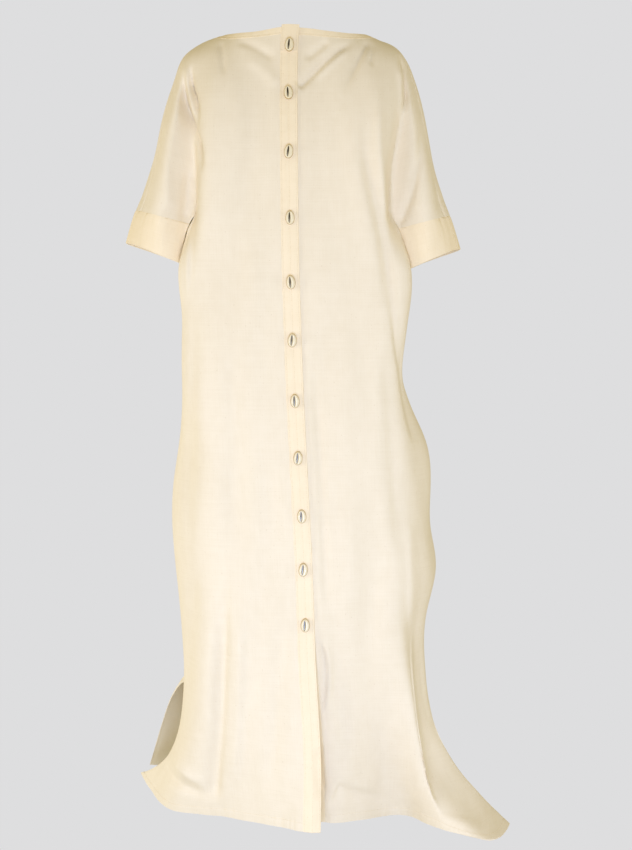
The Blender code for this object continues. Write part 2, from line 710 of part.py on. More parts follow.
def back_patches():
    patches = []
    for surface, first, last, lines, low in (
        (Surface("yoke"), RIGHT_SEAM, LEFT_SEAM, YOKE_LINES, 0.0),
        (Surface("body", "back"), RIGHT_SIDE, LEFT_SIDE, BODY_LINES, SPLIT_DROP),
    ):
        u, v = grid(spans(first, last), lines)
        patches.append(Patch(surface, u, v, low, HEM_DROP))
    for side in (-1, 1):
        u, v = grid(spans(SLEEVE_SEAM, SLEEVE_MIDDLE), SLEEVE_LINES)
        sleeve = Surface("sleeve", side=side)
        patches.append(Patch(sleeve, u, v, SPLIT_DROP, CUFF_HEM_DROP, flip=side > 0))
    return patches


def cuff_patches(side):
    u, v = grid(spans(0, SLEEVE_SPANS), CUFF_LINES)
    sleeve = Surface("sleeve", side=side)
    return [Patch(sleeve, u, v, SPLIT_DROP, CUFF_HEM_DROP, flip=side > 0)]


def placket_patches(panel, lines, body_lines=()):
    """A strip along the front centre. Below the underarm it follows the body of its own panel."""
    across = np.linspace(1.0, -1.0, PLACKET_COLUMNS + 1)
    patches = []
    for surface, rows, low in (
        (Surface("yoke"), lines, lines[0]),
        (Surface("body", panel), body_lines, SPLIT_DROP),
    ):
        if len(rows):
            edge = edge_place(surface, rows, 1)[:, None]
            u, v = grid(edge * across, rows)
            patches.append(Patch(surface, u, v, low, HEM_DROP, flip=True))
    return patches


def band_patches(sign=0):
    """A stretch of the neckband: a front one up to the placket's edge, or the back one."""
    surface = Surface("yoke")
    places = spans(RIGHT_SEAM, LEFT_SEAM)
    if sign:
        places = from_placket(surface, BAND_LINES, sign, RIGHT_SEAM)
    u, v = grid(places, BAND_LINES)
    return [Patch(surface, u % YOKE_SPANS, v, 0.0, HEM_DROP, flip=sign < 0)]


def make_cowrie(name, button, material):
    """A cowrie: an egg-shaped dome with a slit down the middle, on the placket's top layer."""
    surface = Surface("yoke") if button.drop < SPLIT_DROP else Surface("body", "right")
    v = np.array([button.drop])
    u = -edge_place(surface, v, 1) * button.aside / (PLACKET_WIDTH / 2)
    at = surface.bare(u, v)[0]
    normal = Vector(surface.normals(u, v, 0.0, HEM_DROP)[0])
    layers = PLACKET_LIFT + DOUBLE_CLOTH / 2 + THREAD_SHANK
    if button.drop < HEAD_DROP:
        layers += CLOTH + GAP
    up = Vector((0, 0, 1))
    up = (up - up.dot(normal) * normal).normalized()
    across = up.cross(normal)
    lean = Matrix.Rotation(math.radians(button.lean), 3, "Z")
    turn = Matrix((across, up, normal)).transposed() @ lean
    points = []
    for ring in COWRIE_RINGS:
        for k in range(COWRIE_SIDES):
            angle = 2 * math.pi * k / COWRIE_SIDES
            length = math.cos(angle)
            narrow = 1 - COWRIE_NARROWING * (1 + length) / 2
            x = COWRIE_WIDTH / 2 * (ring.aside - ring.width * math.sin(angle) * narrow)
            y = COWRIE_LENGTH / 2 * ring.length * length
            points.append(turn @ Vector((x, y, COWRIE_HEIGHT * ring.height)))
    origin = Vector(at) + normal * layers
    faces = []
    for r in range(len(COWRIE_RINGS) - 1):
        for k in range(COWRIE_SIDES):
            a = r * COWRIE_SIDES + k
            b = r * COWRIE_SIDES + (k + 1) % COWRIE_SIDES
            faces.append((a, b, b + COWRIE_SIDES, a + COWRIE_SIDES))
    top = (len(COWRIE_RINGS) - 1) * COWRIE_SIDES
    faces.append(tuple(range(top, top + COWRIE_SIDES)))
    faces.append(tuple(reversed(range(COWRIE_SIDES))))
    made = make_object(name, np.array([list(p) for p in points]), faces, material)
    made.location = origin
    return made


def build():
    clear_scene()
    cotton = make_material(*COTTON)
    doubled = make_material(*DOUBLED_COTTON)
    shell = make_material(*SHELL)
    make_wall("front_right", front_patches("right"), CLOTH, cotton, lift=placket_lift)
    make_wall("front_left", front_patches("left"), CLOTH, cotton)
    make_wall("back", back_patches(), CLOTH, cotton)
    make_wall("cuff_right", cuff_patches(-1), DOUBLE_CLOTH, doubled)
    make_wall("cuff_left", cuff_patches(1), DOUBLE_CLOTH, doubled)
    make_wall("neckband_right", band_patches(1), DOUBLE_CLOTH, doubled, lift=placket_lift)
    make_wall("neckband_left", band_patches(-1), DOUBLE_CLOTH, doubled)
    make_wall("neckband_back", band_patches(), DOUBLE_CLOTH, doubled)
    under = placket_patches("left", PLACKET_LINES, BODY_LINES)
    make_wall("placket_under", under, DOUBLE_CLOTH, doubled)
    top = placket_patches("right", PLACKET_LINES, BODY_LINES)
    make_wall("placket_top", top, DOUBLE_CLOTH, doubled, offset=PLACKET_LIFT)
    head = placket_patches("right", HEAD_LINES)
    make_wall("placket_head", head, CLOTH, doubled, offset=HEAD_LIFT)
    for number, button in enumerate(BUTTONS, start=1):
        make_cowrie(f"button_{number:02d}", button, shell)


build()
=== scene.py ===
"""A grand boubou robe of unbleached calico, worn and hollow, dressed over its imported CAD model.

X runs across the robe (the wearer's right side is -X), the front faces -Y and Z is up.
Lengths are in metres. The robe's form is a stack of level sections through the yoke, the body and
the sleeves. Each cloth piece is a thin closed shell on that form, with its creases, seams and hems
worked into the shape, and a woven cotton finish.
"""

import logging
import math
from collections.abc import Callable, Sequence
from dataclasses import dataclass, field
from enum import Enum

import bpy
import numpy as np
from bpy.types import Material, Node, NodeSocket, NodeTree, Object
from mathutils import Matrix, Vector


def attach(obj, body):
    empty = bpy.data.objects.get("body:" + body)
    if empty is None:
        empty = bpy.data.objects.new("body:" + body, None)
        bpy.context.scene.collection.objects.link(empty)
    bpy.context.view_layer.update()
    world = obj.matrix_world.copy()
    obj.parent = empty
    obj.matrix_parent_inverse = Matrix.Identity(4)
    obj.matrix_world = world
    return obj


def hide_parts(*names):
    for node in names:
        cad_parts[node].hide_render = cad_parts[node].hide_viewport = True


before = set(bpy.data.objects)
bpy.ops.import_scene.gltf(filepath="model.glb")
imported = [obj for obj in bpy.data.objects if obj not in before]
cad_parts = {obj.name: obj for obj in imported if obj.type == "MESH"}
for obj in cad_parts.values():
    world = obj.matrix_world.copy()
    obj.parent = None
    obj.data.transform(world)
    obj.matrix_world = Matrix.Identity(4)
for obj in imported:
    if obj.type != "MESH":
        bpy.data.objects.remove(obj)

Array = np.ndarray
Spots = list[tuple[float, float, float]]
log = logging.getLogger("robe")

MM = 0.001
BODY = "root"

# Lengths along the robe, down from the neck edge at the centre.
BAND_DROP = 13 * MM
HEAD_DROP = 44 * MM
SPLIT_DROP = 0.330
VENT_DROP = 1.195
HEM_DROP = 1.430
CUFF_SEAM_DROP = 0.350
CUFF_HEM_DROP = 0.405

# Cloth thicknesses with their air and creases, and the gap that touching pieces keep.
CLOTH = 1.3 * MM
DOUBLE_CLOTH = 2.2 * MM
GAP = 0.3 * MM

# How far a sewn edge reaches into its neighbour, so that no gap shows.
SEAM_TUCK = 0.35 * MM

# The placket and the layers on it.
PLACKET_WIDTH = 30 * MM
PLACKET_LIFT = DOUBLE_CLOTH + GAP
HEAD_LIFT = PLACKET_LIFT + (DOUBLE_CLOTH + CLOTH) / 2 + GAP
LIFT_REACH = 25 * MM
HEAD_OVERHANG = 4 * MM

# The hem is turned up twice and topstitched.
HEM_TURN = 17 * MM

UNDERARM_X = 0.176
ARM_SLOPE = 0.014
UNDERARM_SHARE = 0.27
LOBE_SHARE = 0.12
ARM_SHARE = 0.68
SLEEVE_ARM_SHARE = 0.50
CHEST_DEPTH_SHARE = 0.22
DIP_SHARES = (0, 0.5, 1, 0.8, 0.2, 0, 0, 0, 0, 0, 0, 0)
PROBE = 1e-4
SAME_POINT = 1e-6
# Facets that meet more sharply than this keep a crisp edge.
SHARP_EDGE = math.radians(60)
# The body's rows are twice as close this far up from the hem.
FINE_HEM = 0.026
FAR = 10.0
# How far below the split the body still leans towards the yoke's last row.
FIT_REACH = 0.10


class Side(Enum):
    """The wearer's side, as the sign of X."""

    RIGHT = -1
    LEFT = 1


class Panel(Enum):
    """One of the robe's three panels."""

    RIGHT = "right"
    LEFT = "left"
    BACK = "back"


class Region(Enum):
    """Which stack of sections a stretch of cloth follows."""

    YOKE = "yoke"
    BODY = "body"
    SLEEVE = "sleeve"


class Facing(Enum):
    """The way a crease's cloth faces, as the sign of its normal's Y."""

    FRONT = -1
    BACK = 1


@dataclass(frozen=True)
class YokeRow:
    """Half a level section through the yoke and the upper arm."""

    drop: float
    arm_drop: float
    dip: float
    sway: float
    centre: float
    front: float
    lobe_x: float
    lobe_front: float
    valley_x: float
    valley_front: float
    arm_x: float
    arm_front: float
    seam_x: float
    seam_y: float
    out_x: float
    out_y: float
    arm_back: float
    valley_back: float
    lobe_back: float
    back: float


@dataclass(frozen=True)
class BodyRow:
    """Half a section through the body below the arms."""

    drop: float
    sway: float
    centre: float
    front: float
    lobe_x: float
    lobe_front: float
    flank_x: float
    flank_front: float
    side_x: float
    side_y: float
    flank_back: float
    lobe_back: float
    back: float


@dataclass(frozen=True)
class SleeveRow:
    """A section through one sleeve below the underarm."""

    drop: float
    out_drop: float
    in_drop: float
    inner_x: float
    inner_front: float
    arm_x: float
    arm_front: float
    seam_x: float
    seam_y: float
    out_x: float
    out_y: float
    arm_back: float
    inner_back: float
    middle_x: float


@dataclass(frozen=True)
class HemPoint:
    """Where the hem reaches at one span of a panel, and how the cloth bends out to it."""

    span: float
    x: float
    y: float
    drop: float
    start: float
    power: float


YOKE = (
    YokeRow(0.000, 0.007, 0.006, 0.000, -0.009, -0.088, 0.078, -0.074, 0.109, -0.055,
            0.1265, -0.034, 0.1335, -0.014, 0.1355, 0.004, 0.026, 0.045, 0.060, 0.069),
    YokeRow(0.013, 0.010, 0.005, -0.001, -0.010, -0.090, 0.082, -0.078, 0.118, -0.059,
            0.1390, -0.037, 0.1480, -0.015, 0.1510, 0.005, 0.028, 0.049, 0.065, 0.074),
    YokeRow(0.045, 0.028, 0.003, -0.002, -0.011, -0.095, 0.105, -0.087, 0.151, -0.070,
            0.1745, -0.046, 0.1840, -0.020, 0.1875, 0.005, 0.035, 0.058, 0.074, 0.085),
    YokeRow(0.100, 0.075, 0.000, -0.002, -0.0115, -0.107, 0.140, -0.104, 0.184, -0.077,
            0.2010, -0.062, 0.2110, -0.030, 0.2150, 0.003, 0.052, 0.067, 0.090, 0.100),
    YokeRow(0.170, 0.145, 0.000, -0.003, -0.0112, -0.121, 0.155, -0.118, 0.188, -0.073,
            0.2110, -0.077, 0.2295, -0.038, 0.2350, 0.004, 0.070, 0.068, 0.103, 0.111),
    YokeRow(0.250, 0.225, 0.000, -0.003, -0.0107, -0.128, 0.157, -0.122, 0.176, -0.064,
            0.2190, -0.084, 0.2460, -0.043, 0.2525, 0.005, 0.082, 0.066, 0.109, 0.117),
    YokeRow(SPLIT_DROP, 0.300, 0.000, -0.004, -0.0097, -0.130, 0.160, -0.120, 0.175, -0.056,
            0.2280, -0.086, 0.2645, -0.045, 0.2735, 0.005, 0.087, 0.060, 0.112, 0.120),
)
TORSO = (
    BodyRow(0.410, -0.001, -0.0085, -0.130, 0.163, -0.117, 0.196, -0.078, 0.170, 0.000,
            0.083, 0.118, 0.125),
    BodyRow(0.500, 0.001, -0.0058, -0.130, 0.163, -0.116, 0.203, -0.074, 0.188, 0.002,
            0.088, 0.123, 0.130),
    BodyRow(0.620, -0.006, -0.0013, -0.130, 0.161, -0.115, 0.198, -0.068, 0.198, 0.006,
            0.093, 0.129, 0.136),
    BodyRow(0.750, 0.012, 0.0045, -0.132, 0.163, -0.115, 0.206, -0.064, 0.2295, 0.012,
            0.101, 0.136, 0.143),
    BodyRow(0.900, 0.010, 0.0126, -0.134, 0.166, -0.115, 0.217, -0.062, 0.2390, 0.018,
            0.110, 0.146, 0.153),
    BodyRow(0.975, 0.018, 0.0160, -0.135, 0.167, -0.114, 0.219, -0.060, 0.2405, 0.020,
            0.115, 0.151, 0.160),
    BodyRow(1.060, 0.015, 0.0188, -0.135, 0.165, -0.112, 0.212, -0.057, 0.2290, 0.023,
            0.121, 0.159, 0.170),
    BodyRow(1.170, 0.015, 0.0245, -0.134, 0.164, -0.109, 0.207, -0.053, 0.2250, 0.030,
            0.132, 0.173, 0.188),
    BodyRow(1.300, 0.015, 0.0330, -0.131, 0.165, -0.103, 0.211, -0.046, 0.2330, 0.040,
            0.150, 0.195, 0.215),
    BodyRow(HEM_DROP, 0.015, 0.0340, -0.126, 0.166, -0.095, 0.214, -0.040, 0.2420, 0.050,
            0.168, 0.218, 0.240),
)
SLEEVE = (
    SleeveRow(CUFF_SEAM_DROP, 0.326, 0.349, 0.1870, -0.060, 0.2350, -0.086, 0.2740, -0.045,
              0.2825, 0.005, 0.087, 0.062, 0.1840),
    SleeveRow(CUFF_HEM_DROP, 0.385, 0.420, 0.2040, -0.060, 0.2480, -0.085, 0.2920, -0.045,
              0.3005, 0.005, 0.084, 0.060, 0.1930),
)
HEMS = {
    Panel.RIGHT: (
        HemPoint(0.0, 0.030, -0.143, HEM_DROP, 1.060, 1.2),
        HemPoint(0.6, -0.018, -0.117, HEM_DROP, 1.060, 1.3),
        HemPoint(1.3, -0.087, -0.072, HEM_DROP, 1.000, 1.5),
        HemPoint(2.2, -0.170, -0.028, HEM_DROP, 1.100, 1.8),
        HemPoint(3.0, -0.243, 0.018, HEM_DROP, 1.170, 2.6),
        HemPoint(3.5, -0.276, 0.090, 1.422, 1.180, 3.0),
        HemPoint(4.0, -0.307, 0.185, 1.409, VENT_DROP, 3.2),
    ),
    Panel.LEFT: (
        HemPoint(0.0, 0.037, -0.077, HEM_DROP, 1.060, 1.0),
        HemPoint(0.9, 0.121, -0.067, HEM_DROP, 1.050, 1.2),
        HemPoint(1.7, 0.204, -0.037, HEM_DROP, 1.050, 1.7),
        HemPoint(2.2, 0.250, -0.105, HEM_DROP, 0.980, 1.5),
        HemPoint(2.8, 0.300, -0.160, HEM_DROP, 1.170, 4.0),
        HemPoint(3.4, 0.350, -0.186, HEM_DROP, 1.180, 4.0),
        HemPoint(4.0, 0.388, -0.090, HEM_DROP, 1.150, 2.8),
    ),
    Panel.BACK: (
        HemPoint(0.0, -0.302, 0.290, 1.417, VENT_DROP, 0.7),
        HemPoint(1.5, -0.215, 0.300, 1.425, 1.050, 1.4),
        HemPoint(3.0, -0.080, 0.295, HEM_DROP, 1.000, 1.5),
        HemPoint(4.5, 0.040, 0.265, HEM_DROP, 1.000, 1.5),
        HemPoint(6.2, 0.175, 0.285, HEM_DROP, 1.020, 1.5),
        HemPoint(8.0, 0.300, 0.085, HEM_DROP, VENT_DROP, 1.8),
    ),
}

YOKE_SPANS = 22
BODY_SPANS = 16
SLEEVE_SPANS = 7

# Columns of the yoke's section: the valleys beside the arms, the overarm seams, the back centre.
VALLEY = 3
RIGHT_SEAM = 5
BACK_VALLEY = 8
BACK_CENTRE = 11
LEFT_BACK_VALLEY = YOKE_SPANS - BACK_VALLEY
LEFT_SEAM = YOKE_SPANS - RIGHT_SEAM
LEFT_VALLEY = YOKE_SPANS - VALLEY

# Columns of the body's section where its panels meet, and of a sleeve's.
RIGHT_SIDE = 4
LEFT_SIDE = BODY_SPANS - RIGHT_SIDE
SLEEVE_SEAM = 2
SLEEVE_BACK = 5
SLEEVE_MIDDLE = 6

# About how long the cloth runs between neighbouring columns, front centre to back centre, and at
# the front and the back of the underarm. It sets how many facets each stretch gets, and is more
# than the cloth's length where the sharpest creases are.
HALF_STRETCHES = (0.088, 0.088, 0.105, 0.095, 0.080, 0.045, 0.085, 0.045, 0.065, 0.085, 0.085)
FRONT_UNDERARM = 0.085
BACK_UNDERARM = 0.100
BODY_HALF = HALF_STRETCHES[:3] + (FRONT_UNDERARM, BACK_UNDERARM) + HALF_STRETCHES[8:]
STRETCHES = {
    Region.YOKE: HALF_STRETCHES + HALF_STRETCHES[::-1],
    Region.BODY: BODY_HALF + BODY_HALF[::-1],
    Region.SLEEVE: HALF_STRETCHES[3:8] + (BACK_UNDERARM, FRONT_UNDERARM),
}


@dataclass(frozen=True)
class Crease:
    """A soft trough (depth below 0) or ridge along a curved line over one face of the robe.

    The line runs through (x, drop) points. "left" and "right" are its half widths on the left and
    the right of someone walking along it, seen from outside the front. "fades" are the shares of its
    length over which it begins and ends, and "power" is higher where its sides are steeper.
    """

    facing: Facing
    line: tuple[tuple[float, float], ...]
    left: float
    right: float
    depth: float
    fades: tuple[float, float] = (0.25, 0.25)
    power: float = 2.0


F, B = Facing.FRONT, Facing.BACK
CREASES = (
    # The long fold beside the wearer's right arm, the short one next to it and the ridge between.
    Crease(F, ((-0.2004, 0.07), (-0.1969, 0.123), (-0.1862, 0.164), (-0.169, 0.213), (-0.163, 0.262)),
           0.0042, 0.0075, -0.025, (0.3, 0.3), 1.4),
    Crease(F, ((-0.185, 0.06), (-0.184, 0.1), (-0.1765, 0.129), (-0.1726, 0.186)),
           0.004, 0.0065, -0.019, (0.35, 0.3), 1.4),
    Crease(F, ((-0.1925, 0.06), (-0.19, 0.112), (-0.18, 0.158)), 0.0045, 0.0045, 0.004),
    # The wearer's right shoulder and neck.
    Crease(F, ((-0.1355, 0.018), (-0.1297, 0.048), (-0.1252, 0.09)), 0.0053, 0.0053, -0.0035),
    Crease(F, ((-0.106, 0.022), (-0.0709, 0.036), (-0.0318, 0.063)), 0.0088, 0.0062, -0.0038),
    Crease(F, ((-0.09, 0.048), (-0.05, 0.082), (-0.03, 0.11)), 0.0106, 0.0106, 0.0026),
    # The wearer's right sleeve and the edge of the body under it.
    Crease(F, ((-0.2244, 0.13), (-0.232, 0.23), (-0.22, 0.335)), 0.0123, 0.0123, 0.0035),
    Crease(F, ((-0.19, 0.235), (-0.196, 0.3), (-0.2032, 0.345)), 0.0079, 0.0079, -0.0056),
    Crease(F, ((-0.179, 0.29), (-0.187, 0.375), (-0.191, 0.482)), 0.0035, 0.0035, 0.0026),
    Crease(F, ((-0.175, 0.27), (-0.18, 0.375), (-0.185, 0.47)), 0.0053, 0.0053, -0.0022),
    # Drag lines from the neck on the wearer's left, down to the top of the placket.
    Crease(F, ((0.0614, 0.022), (0.0405, 0.041), (0.015, 0.06)), 0.0053, 0.0079, -0.0042),
    Crease(F, ((0.107, 0.02), (0.0703, 0.049), (0.0379, 0.079), (0.006, 0.111)),
           0.0044, 0.0088, -0.0074, (0.25, 0.06), 1.6),
    Crease(F, ((0.096, 0.034), (0.064, 0.064), (0.032, 0.096)), 0.007, 0.007, 0.0032),
    Crease(F, ((0.134, 0.016), (0.1173, 0.048), (0.1053, 0.073), (0.085, 0.12)),
           0.0053, 0.0088, -0.0064, (0.15, 0.35), 1.7),
    Crease(F, ((0.14, 0.02), (0.1355, 0.047), (0.134, 0.072)), 0.0044, 0.0044, -0.0032),
    # The wearer's left arm: a deep short fold, the sleeve's long drag line and the pinch at the cuff.
    Crease(F, ((0.185, 0.04), (0.1937, 0.067), (0.1965, 0.106), (0.193, 0.15)),
           0.0075, 0.0042, -0.015, (0.35, 0.3), 1.4),
    Crease(F, ((0.185, 0.06), (0.188, 0.11), (0.185, 0.165)), 0.006, 0.006, 0.0036),
    Crease(F, ((0.2254, 0.15), (0.2227, 0.205), (0.215, 0.264), (0.2038, 0.307), (0.185, 0.352)),
           0.007, 0.0106, -0.0075, (0.3, 0.1), 1.7),
    Crease(F, ((0.176, 0.338), (0.184, 0.358), (0.188, 0.385)), 0.0026, 0.0044, -0.0035),
    Crease(F, ((0.185, 0.335), (0.192, 0.362), (0.196, 0.385)), 0.0035, 0.0035, -0.0022),
    # The long soft fold from the wearer's left shoulder down the front and into the side.
    Crease(F, ((0.1265, 0.11), (0.1237, 0.213), (0.131, 0.268), (0.1462, 0.34), (0.1553, 0.383),
               (0.164, 0.443), (0.1784, 0.556)), 0.0158, 0.0106, -0.0111, (0.3, 0.2)),
    Crease(F, ((0.15, 0.1), (0.148, 0.202), (0.158, 0.287), (0.172, 0.393)), 0.0088, 0.0088, 0.0056),
    Crease(F, ((0.165, 0.443), (0.1784, 0.556), (0.1885, 0.61), (0.2027, 0.693), (0.2173, 0.746)),
           0.0176, 0.0053, -0.0078),
    # The middle of the body.
    Crease(F, ((-0.1113, 0.5), (-0.1083, 0.747), (-0.1124, 0.96)), 0.0211, 0.0176, -0.0051),
    Crease(F, ((-0.07, 0.42), (-0.074, 0.7), (-0.076, 1.0)), 0.0176, 0.0176, 0.0026),
    Crease(F, ((-0.1778, 0.48), (-0.188, 0.74), (-0.1904, 0.96)), 0.0123, 0.0123, -0.0054),
    Crease(F, ((0.1591, 0.56), (0.1722, 0.74), (0.1872, 0.96)), 0.0158, 0.0123, -0.0054),
    Crease(F, ((0.204, 0.86), (0.2076, 0.983), (0.2083, 1.082)), 0.0106, 0.0088, 0.0045),
    Crease(F, ((0.03, 0.56), (0.043, 0.75), (0.052, 0.94), (0.056, 1.04)), 0.0106, 0.007, -0.0038),
    Crease(F, ((0.085, 0.48), (0.09, 0.76), (0.108, 1.05)), 0.0229, 0.0229, 0.0029),
    # The wearer's right below the knee: soft folds, and the trough above the hem at the corner.
    Crease(F, ((-0.122, 0.96), (-0.1282, 1.127), (-0.1373, 1.278), (-0.1487, 1.404)),
           0.0088, 0.0176, -0.012, (0.3, 0.1)),
    Crease(F, ((-0.0984, 1.0), (-0.1033, 1.2), (-0.1164, 1.38)), 0.0106, 0.0106, 0.0048),
    Crease(F, ((-0.03, 1.05), (-0.031, 1.2), (-0.05, 1.39)), 0.0158, 0.0158, -0.0042),
    Crease(F, ((-0.185, 0.96), (-0.192, 1.08), (-0.202, 1.22)), 0.0141, 0.0141, -0.0058),
    Crease(F, ((-0.262, 1.356), (-0.2233, 1.374), (-0.14, 1.396)), 0.011, 0.009, -0.01, (0.3, 0.5)),
    Crease(F, ((-0.248, 1.314), (-0.2187, 1.342), (-0.145, 1.382)), 0.011, 0.009, 0.0075, (0.35, 0.4)),
    # The slit below the last button: the edge under it turns, and a ridge runs to the hem.
    Crease(F, ((0.042, 1.085), (0.052, 1.141), (0.046, 1.23)), 0.006, 0.0075, -0.0045),
    Crease(F, ((0.05, 1.085), (0.062, 1.141), (0.056, 1.235)), 0.006, 0.0075, 0.003),
    Crease(F, ((0.0672, 1.0), (0.0818, 1.179), (0.0947, 1.29)), 0.016, 0.016, -0.004),
    Crease(F, ((0.072, 1.362), (0.1079, 1.376), (0.17, 1.398)), 0.01, 0.03, -0.006, (0.1, 0.35)),
    Crease(F, ((0.042, 1.27), (0.044, 1.33), (0.056, 1.385)), 0.008, 0.012, -0.006),
    # The wearer's left below the knee: the strong fold edge and the flared corner.
    Crease(F, ((0.202, 0.96), (0.2083, 1.082), (0.2241, 1.176), (0.242, 1.301), (0.246, 1.385)),
           0.03, 0.013, -0.012, (0.25, 0.22)),
    Crease(F, ((0.25, 1.398), (0.3, 1.402), (0.36, 1.412)), 0.02, 0.007, -0.0045, (0.35, 0.3)),
    Crease(F, ((0.125, 0.76), (0.135, 0.96), (0.12, 1.27)), 0.0264, 0.0264, -0.0068),
    # The back: shoulders, neck, sleeves, and the long folds that fall to the hem.
    Crease(B, ((-0.19, 0.07), (-0.181, 0.15), (-0.162, 0.24)), 0.009, 0.011, -0.0085, power=1.6),
    Crease(B, ((0.185, 0.06), (0.187, 0.12), (0.173, 0.2)), 0.01, 0.008, -0.008, power=1.6),
    Crease(B, ((-0.115, 0.024), (-0.065, 0.055), (-0.005, 0.072)), 0.009, 0.009, -0.0028),
    Crease(B, ((0.12, 0.024), (0.078, 0.072), (0.03, 0.122)), 0.008, 0.008, -0.0034),
    Crease(B, ((-0.13, 0.12), (-0.126, 0.23), (-0.138, 0.38)), 0.014, 0.014, -0.006),
    Crease(B, ((0.128, 0.12), (0.125, 0.23), (0.142, 0.4)), 0.014, 0.014, -0.007),
    Crease(B, ((-0.228, 0.15), (-0.225, 0.24), (-0.202, 0.34)), 0.01, 0.012, -0.005),
    Crease(B, ((0.228, 0.15), (0.224, 0.23), (0.196, 0.345)), 0.012, 0.01, -0.0055),
    Crease(B, ((-0.09, 0.3), (-0.08, 0.8), (-0.085, 1.35)), 0.034, 0.034, -0.0095),
    Crease(B, ((0.08, 0.4), (0.095, 0.85), (0.11, 1.38)), 0.036, 0.036, -0.01),
    Crease(B, ((0.0, 0.55), (0.005, 1.0), (0.0, 1.4)), 0.028, 0.028, 0.008),
    Crease(B, ((-0.165, 0.45), (-0.172, 0.8), (-0.195, 1.33)), 0.016, 0.02, -0.0065),
    Crease(B, ((0.162, 0.6), (0.172, 0.95), (0.202, 1.35)), 0.018, 0.016, -0.0065),
    Crease(B, ((0.035, 0.48), (0.042, 0.9), (0.052, 1.395)), 0.014, 0.014, -0.004),
    Crease(B, ((-0.21, 1.388), (-0.1, 1.402), (0.03, 1.394)), 0.018, 0.008, -0.0045),
)


def row_weights(knots: Sequence[float], at: Array) -> Array:
    """How much each knot's value counts at each place: a natural cubic, straight past its ends.

    Args:
        knots: Rising places where values are given.
        at: Places to read.

    Returns:
        One row of weights for each place.
    """
    knots = np.asarray(knots, float)
    count = len(knots)
    step = np.diff(knots)
    left = np.eye(count)
    right = np.zeros((count, count))
    for i in range(1, count - 1):
        before, after = step[i - 1], step[i]
        left[i, i - 1 : i + 2] = before, 2 * (before + after), after
        right[i, i - 1 : i + 2] = 6 / before, -6 / before - 6 / after, 6 / after
    bend = np.linalg.solve(left, right)
    one = np.eye(count)
    k = np.clip(np.searchsorted(knots, at) - 1, 0, count - 2)
    inside = np.clip(at, knots[0], knots[-1])
    h = step[k][:, None]
    b = ((inside - knots[k]) / step[k])[:, None]
    a = 1 - b
    value = a * one[k] + b * one[k + 1]
    value += ((a**3 - a) * bend[k] + (b**3 - b) * bend[k + 1]) * h**2 / 6
    slope = (one[k + 1] - one[k]) / h
    slope += ((3 * b**2 - 1) * bend[k + 1] - (3 * a**2 - 1) * bend[k]) * h / 6
    return value + (at - inside)[:, None] * slope


def ring_weights(count: int, at: Array) -> Array:
    """The same weights for a closed ring of evenly counted points.

    Args:
        count: Points in the ring.
        at: Places along it, in points.

    Returns:
        One row of weights for each place.
    """
    one = np.eye(count)
    ahead = np.roll(one, 1, axis=1)
    behind = np.roll(one, -1, axis=1)
    bend = np.linalg.solve(4 * one + ahead + behind, 6 * (ahead + behind - 2 * one))
    k = np.floor(at).astype(int)
    b = (at - k)[:, None]
    a = 1 - b
    after = (k + 1) % count
    k = k % count
    return a * one[k] + b * one[after] + ((a**3 - a) * bend[k] + (b**3 - b) * bend[after]) / 6


def mix(a: float | Array, b: float | Array, share: float | Array) -> float | Array:
    """The value a share of the way from a to b."""
    return a + (b - a) * share


def smooth_step(t: Array) -> Array:
    """A ramp from 0 to 1 with soft ends."""
    t = np.clip(t, 0.0, 1.0)
    return t * t * (3 - 2 * t)


def bell(distance: Array, width: float | Array, power: float = 2.0) -> Array:
    """A soft hump that is 1 at no distance and dies out past the width."""
    return np.exp(-(np.abs(distance / width) ** power))


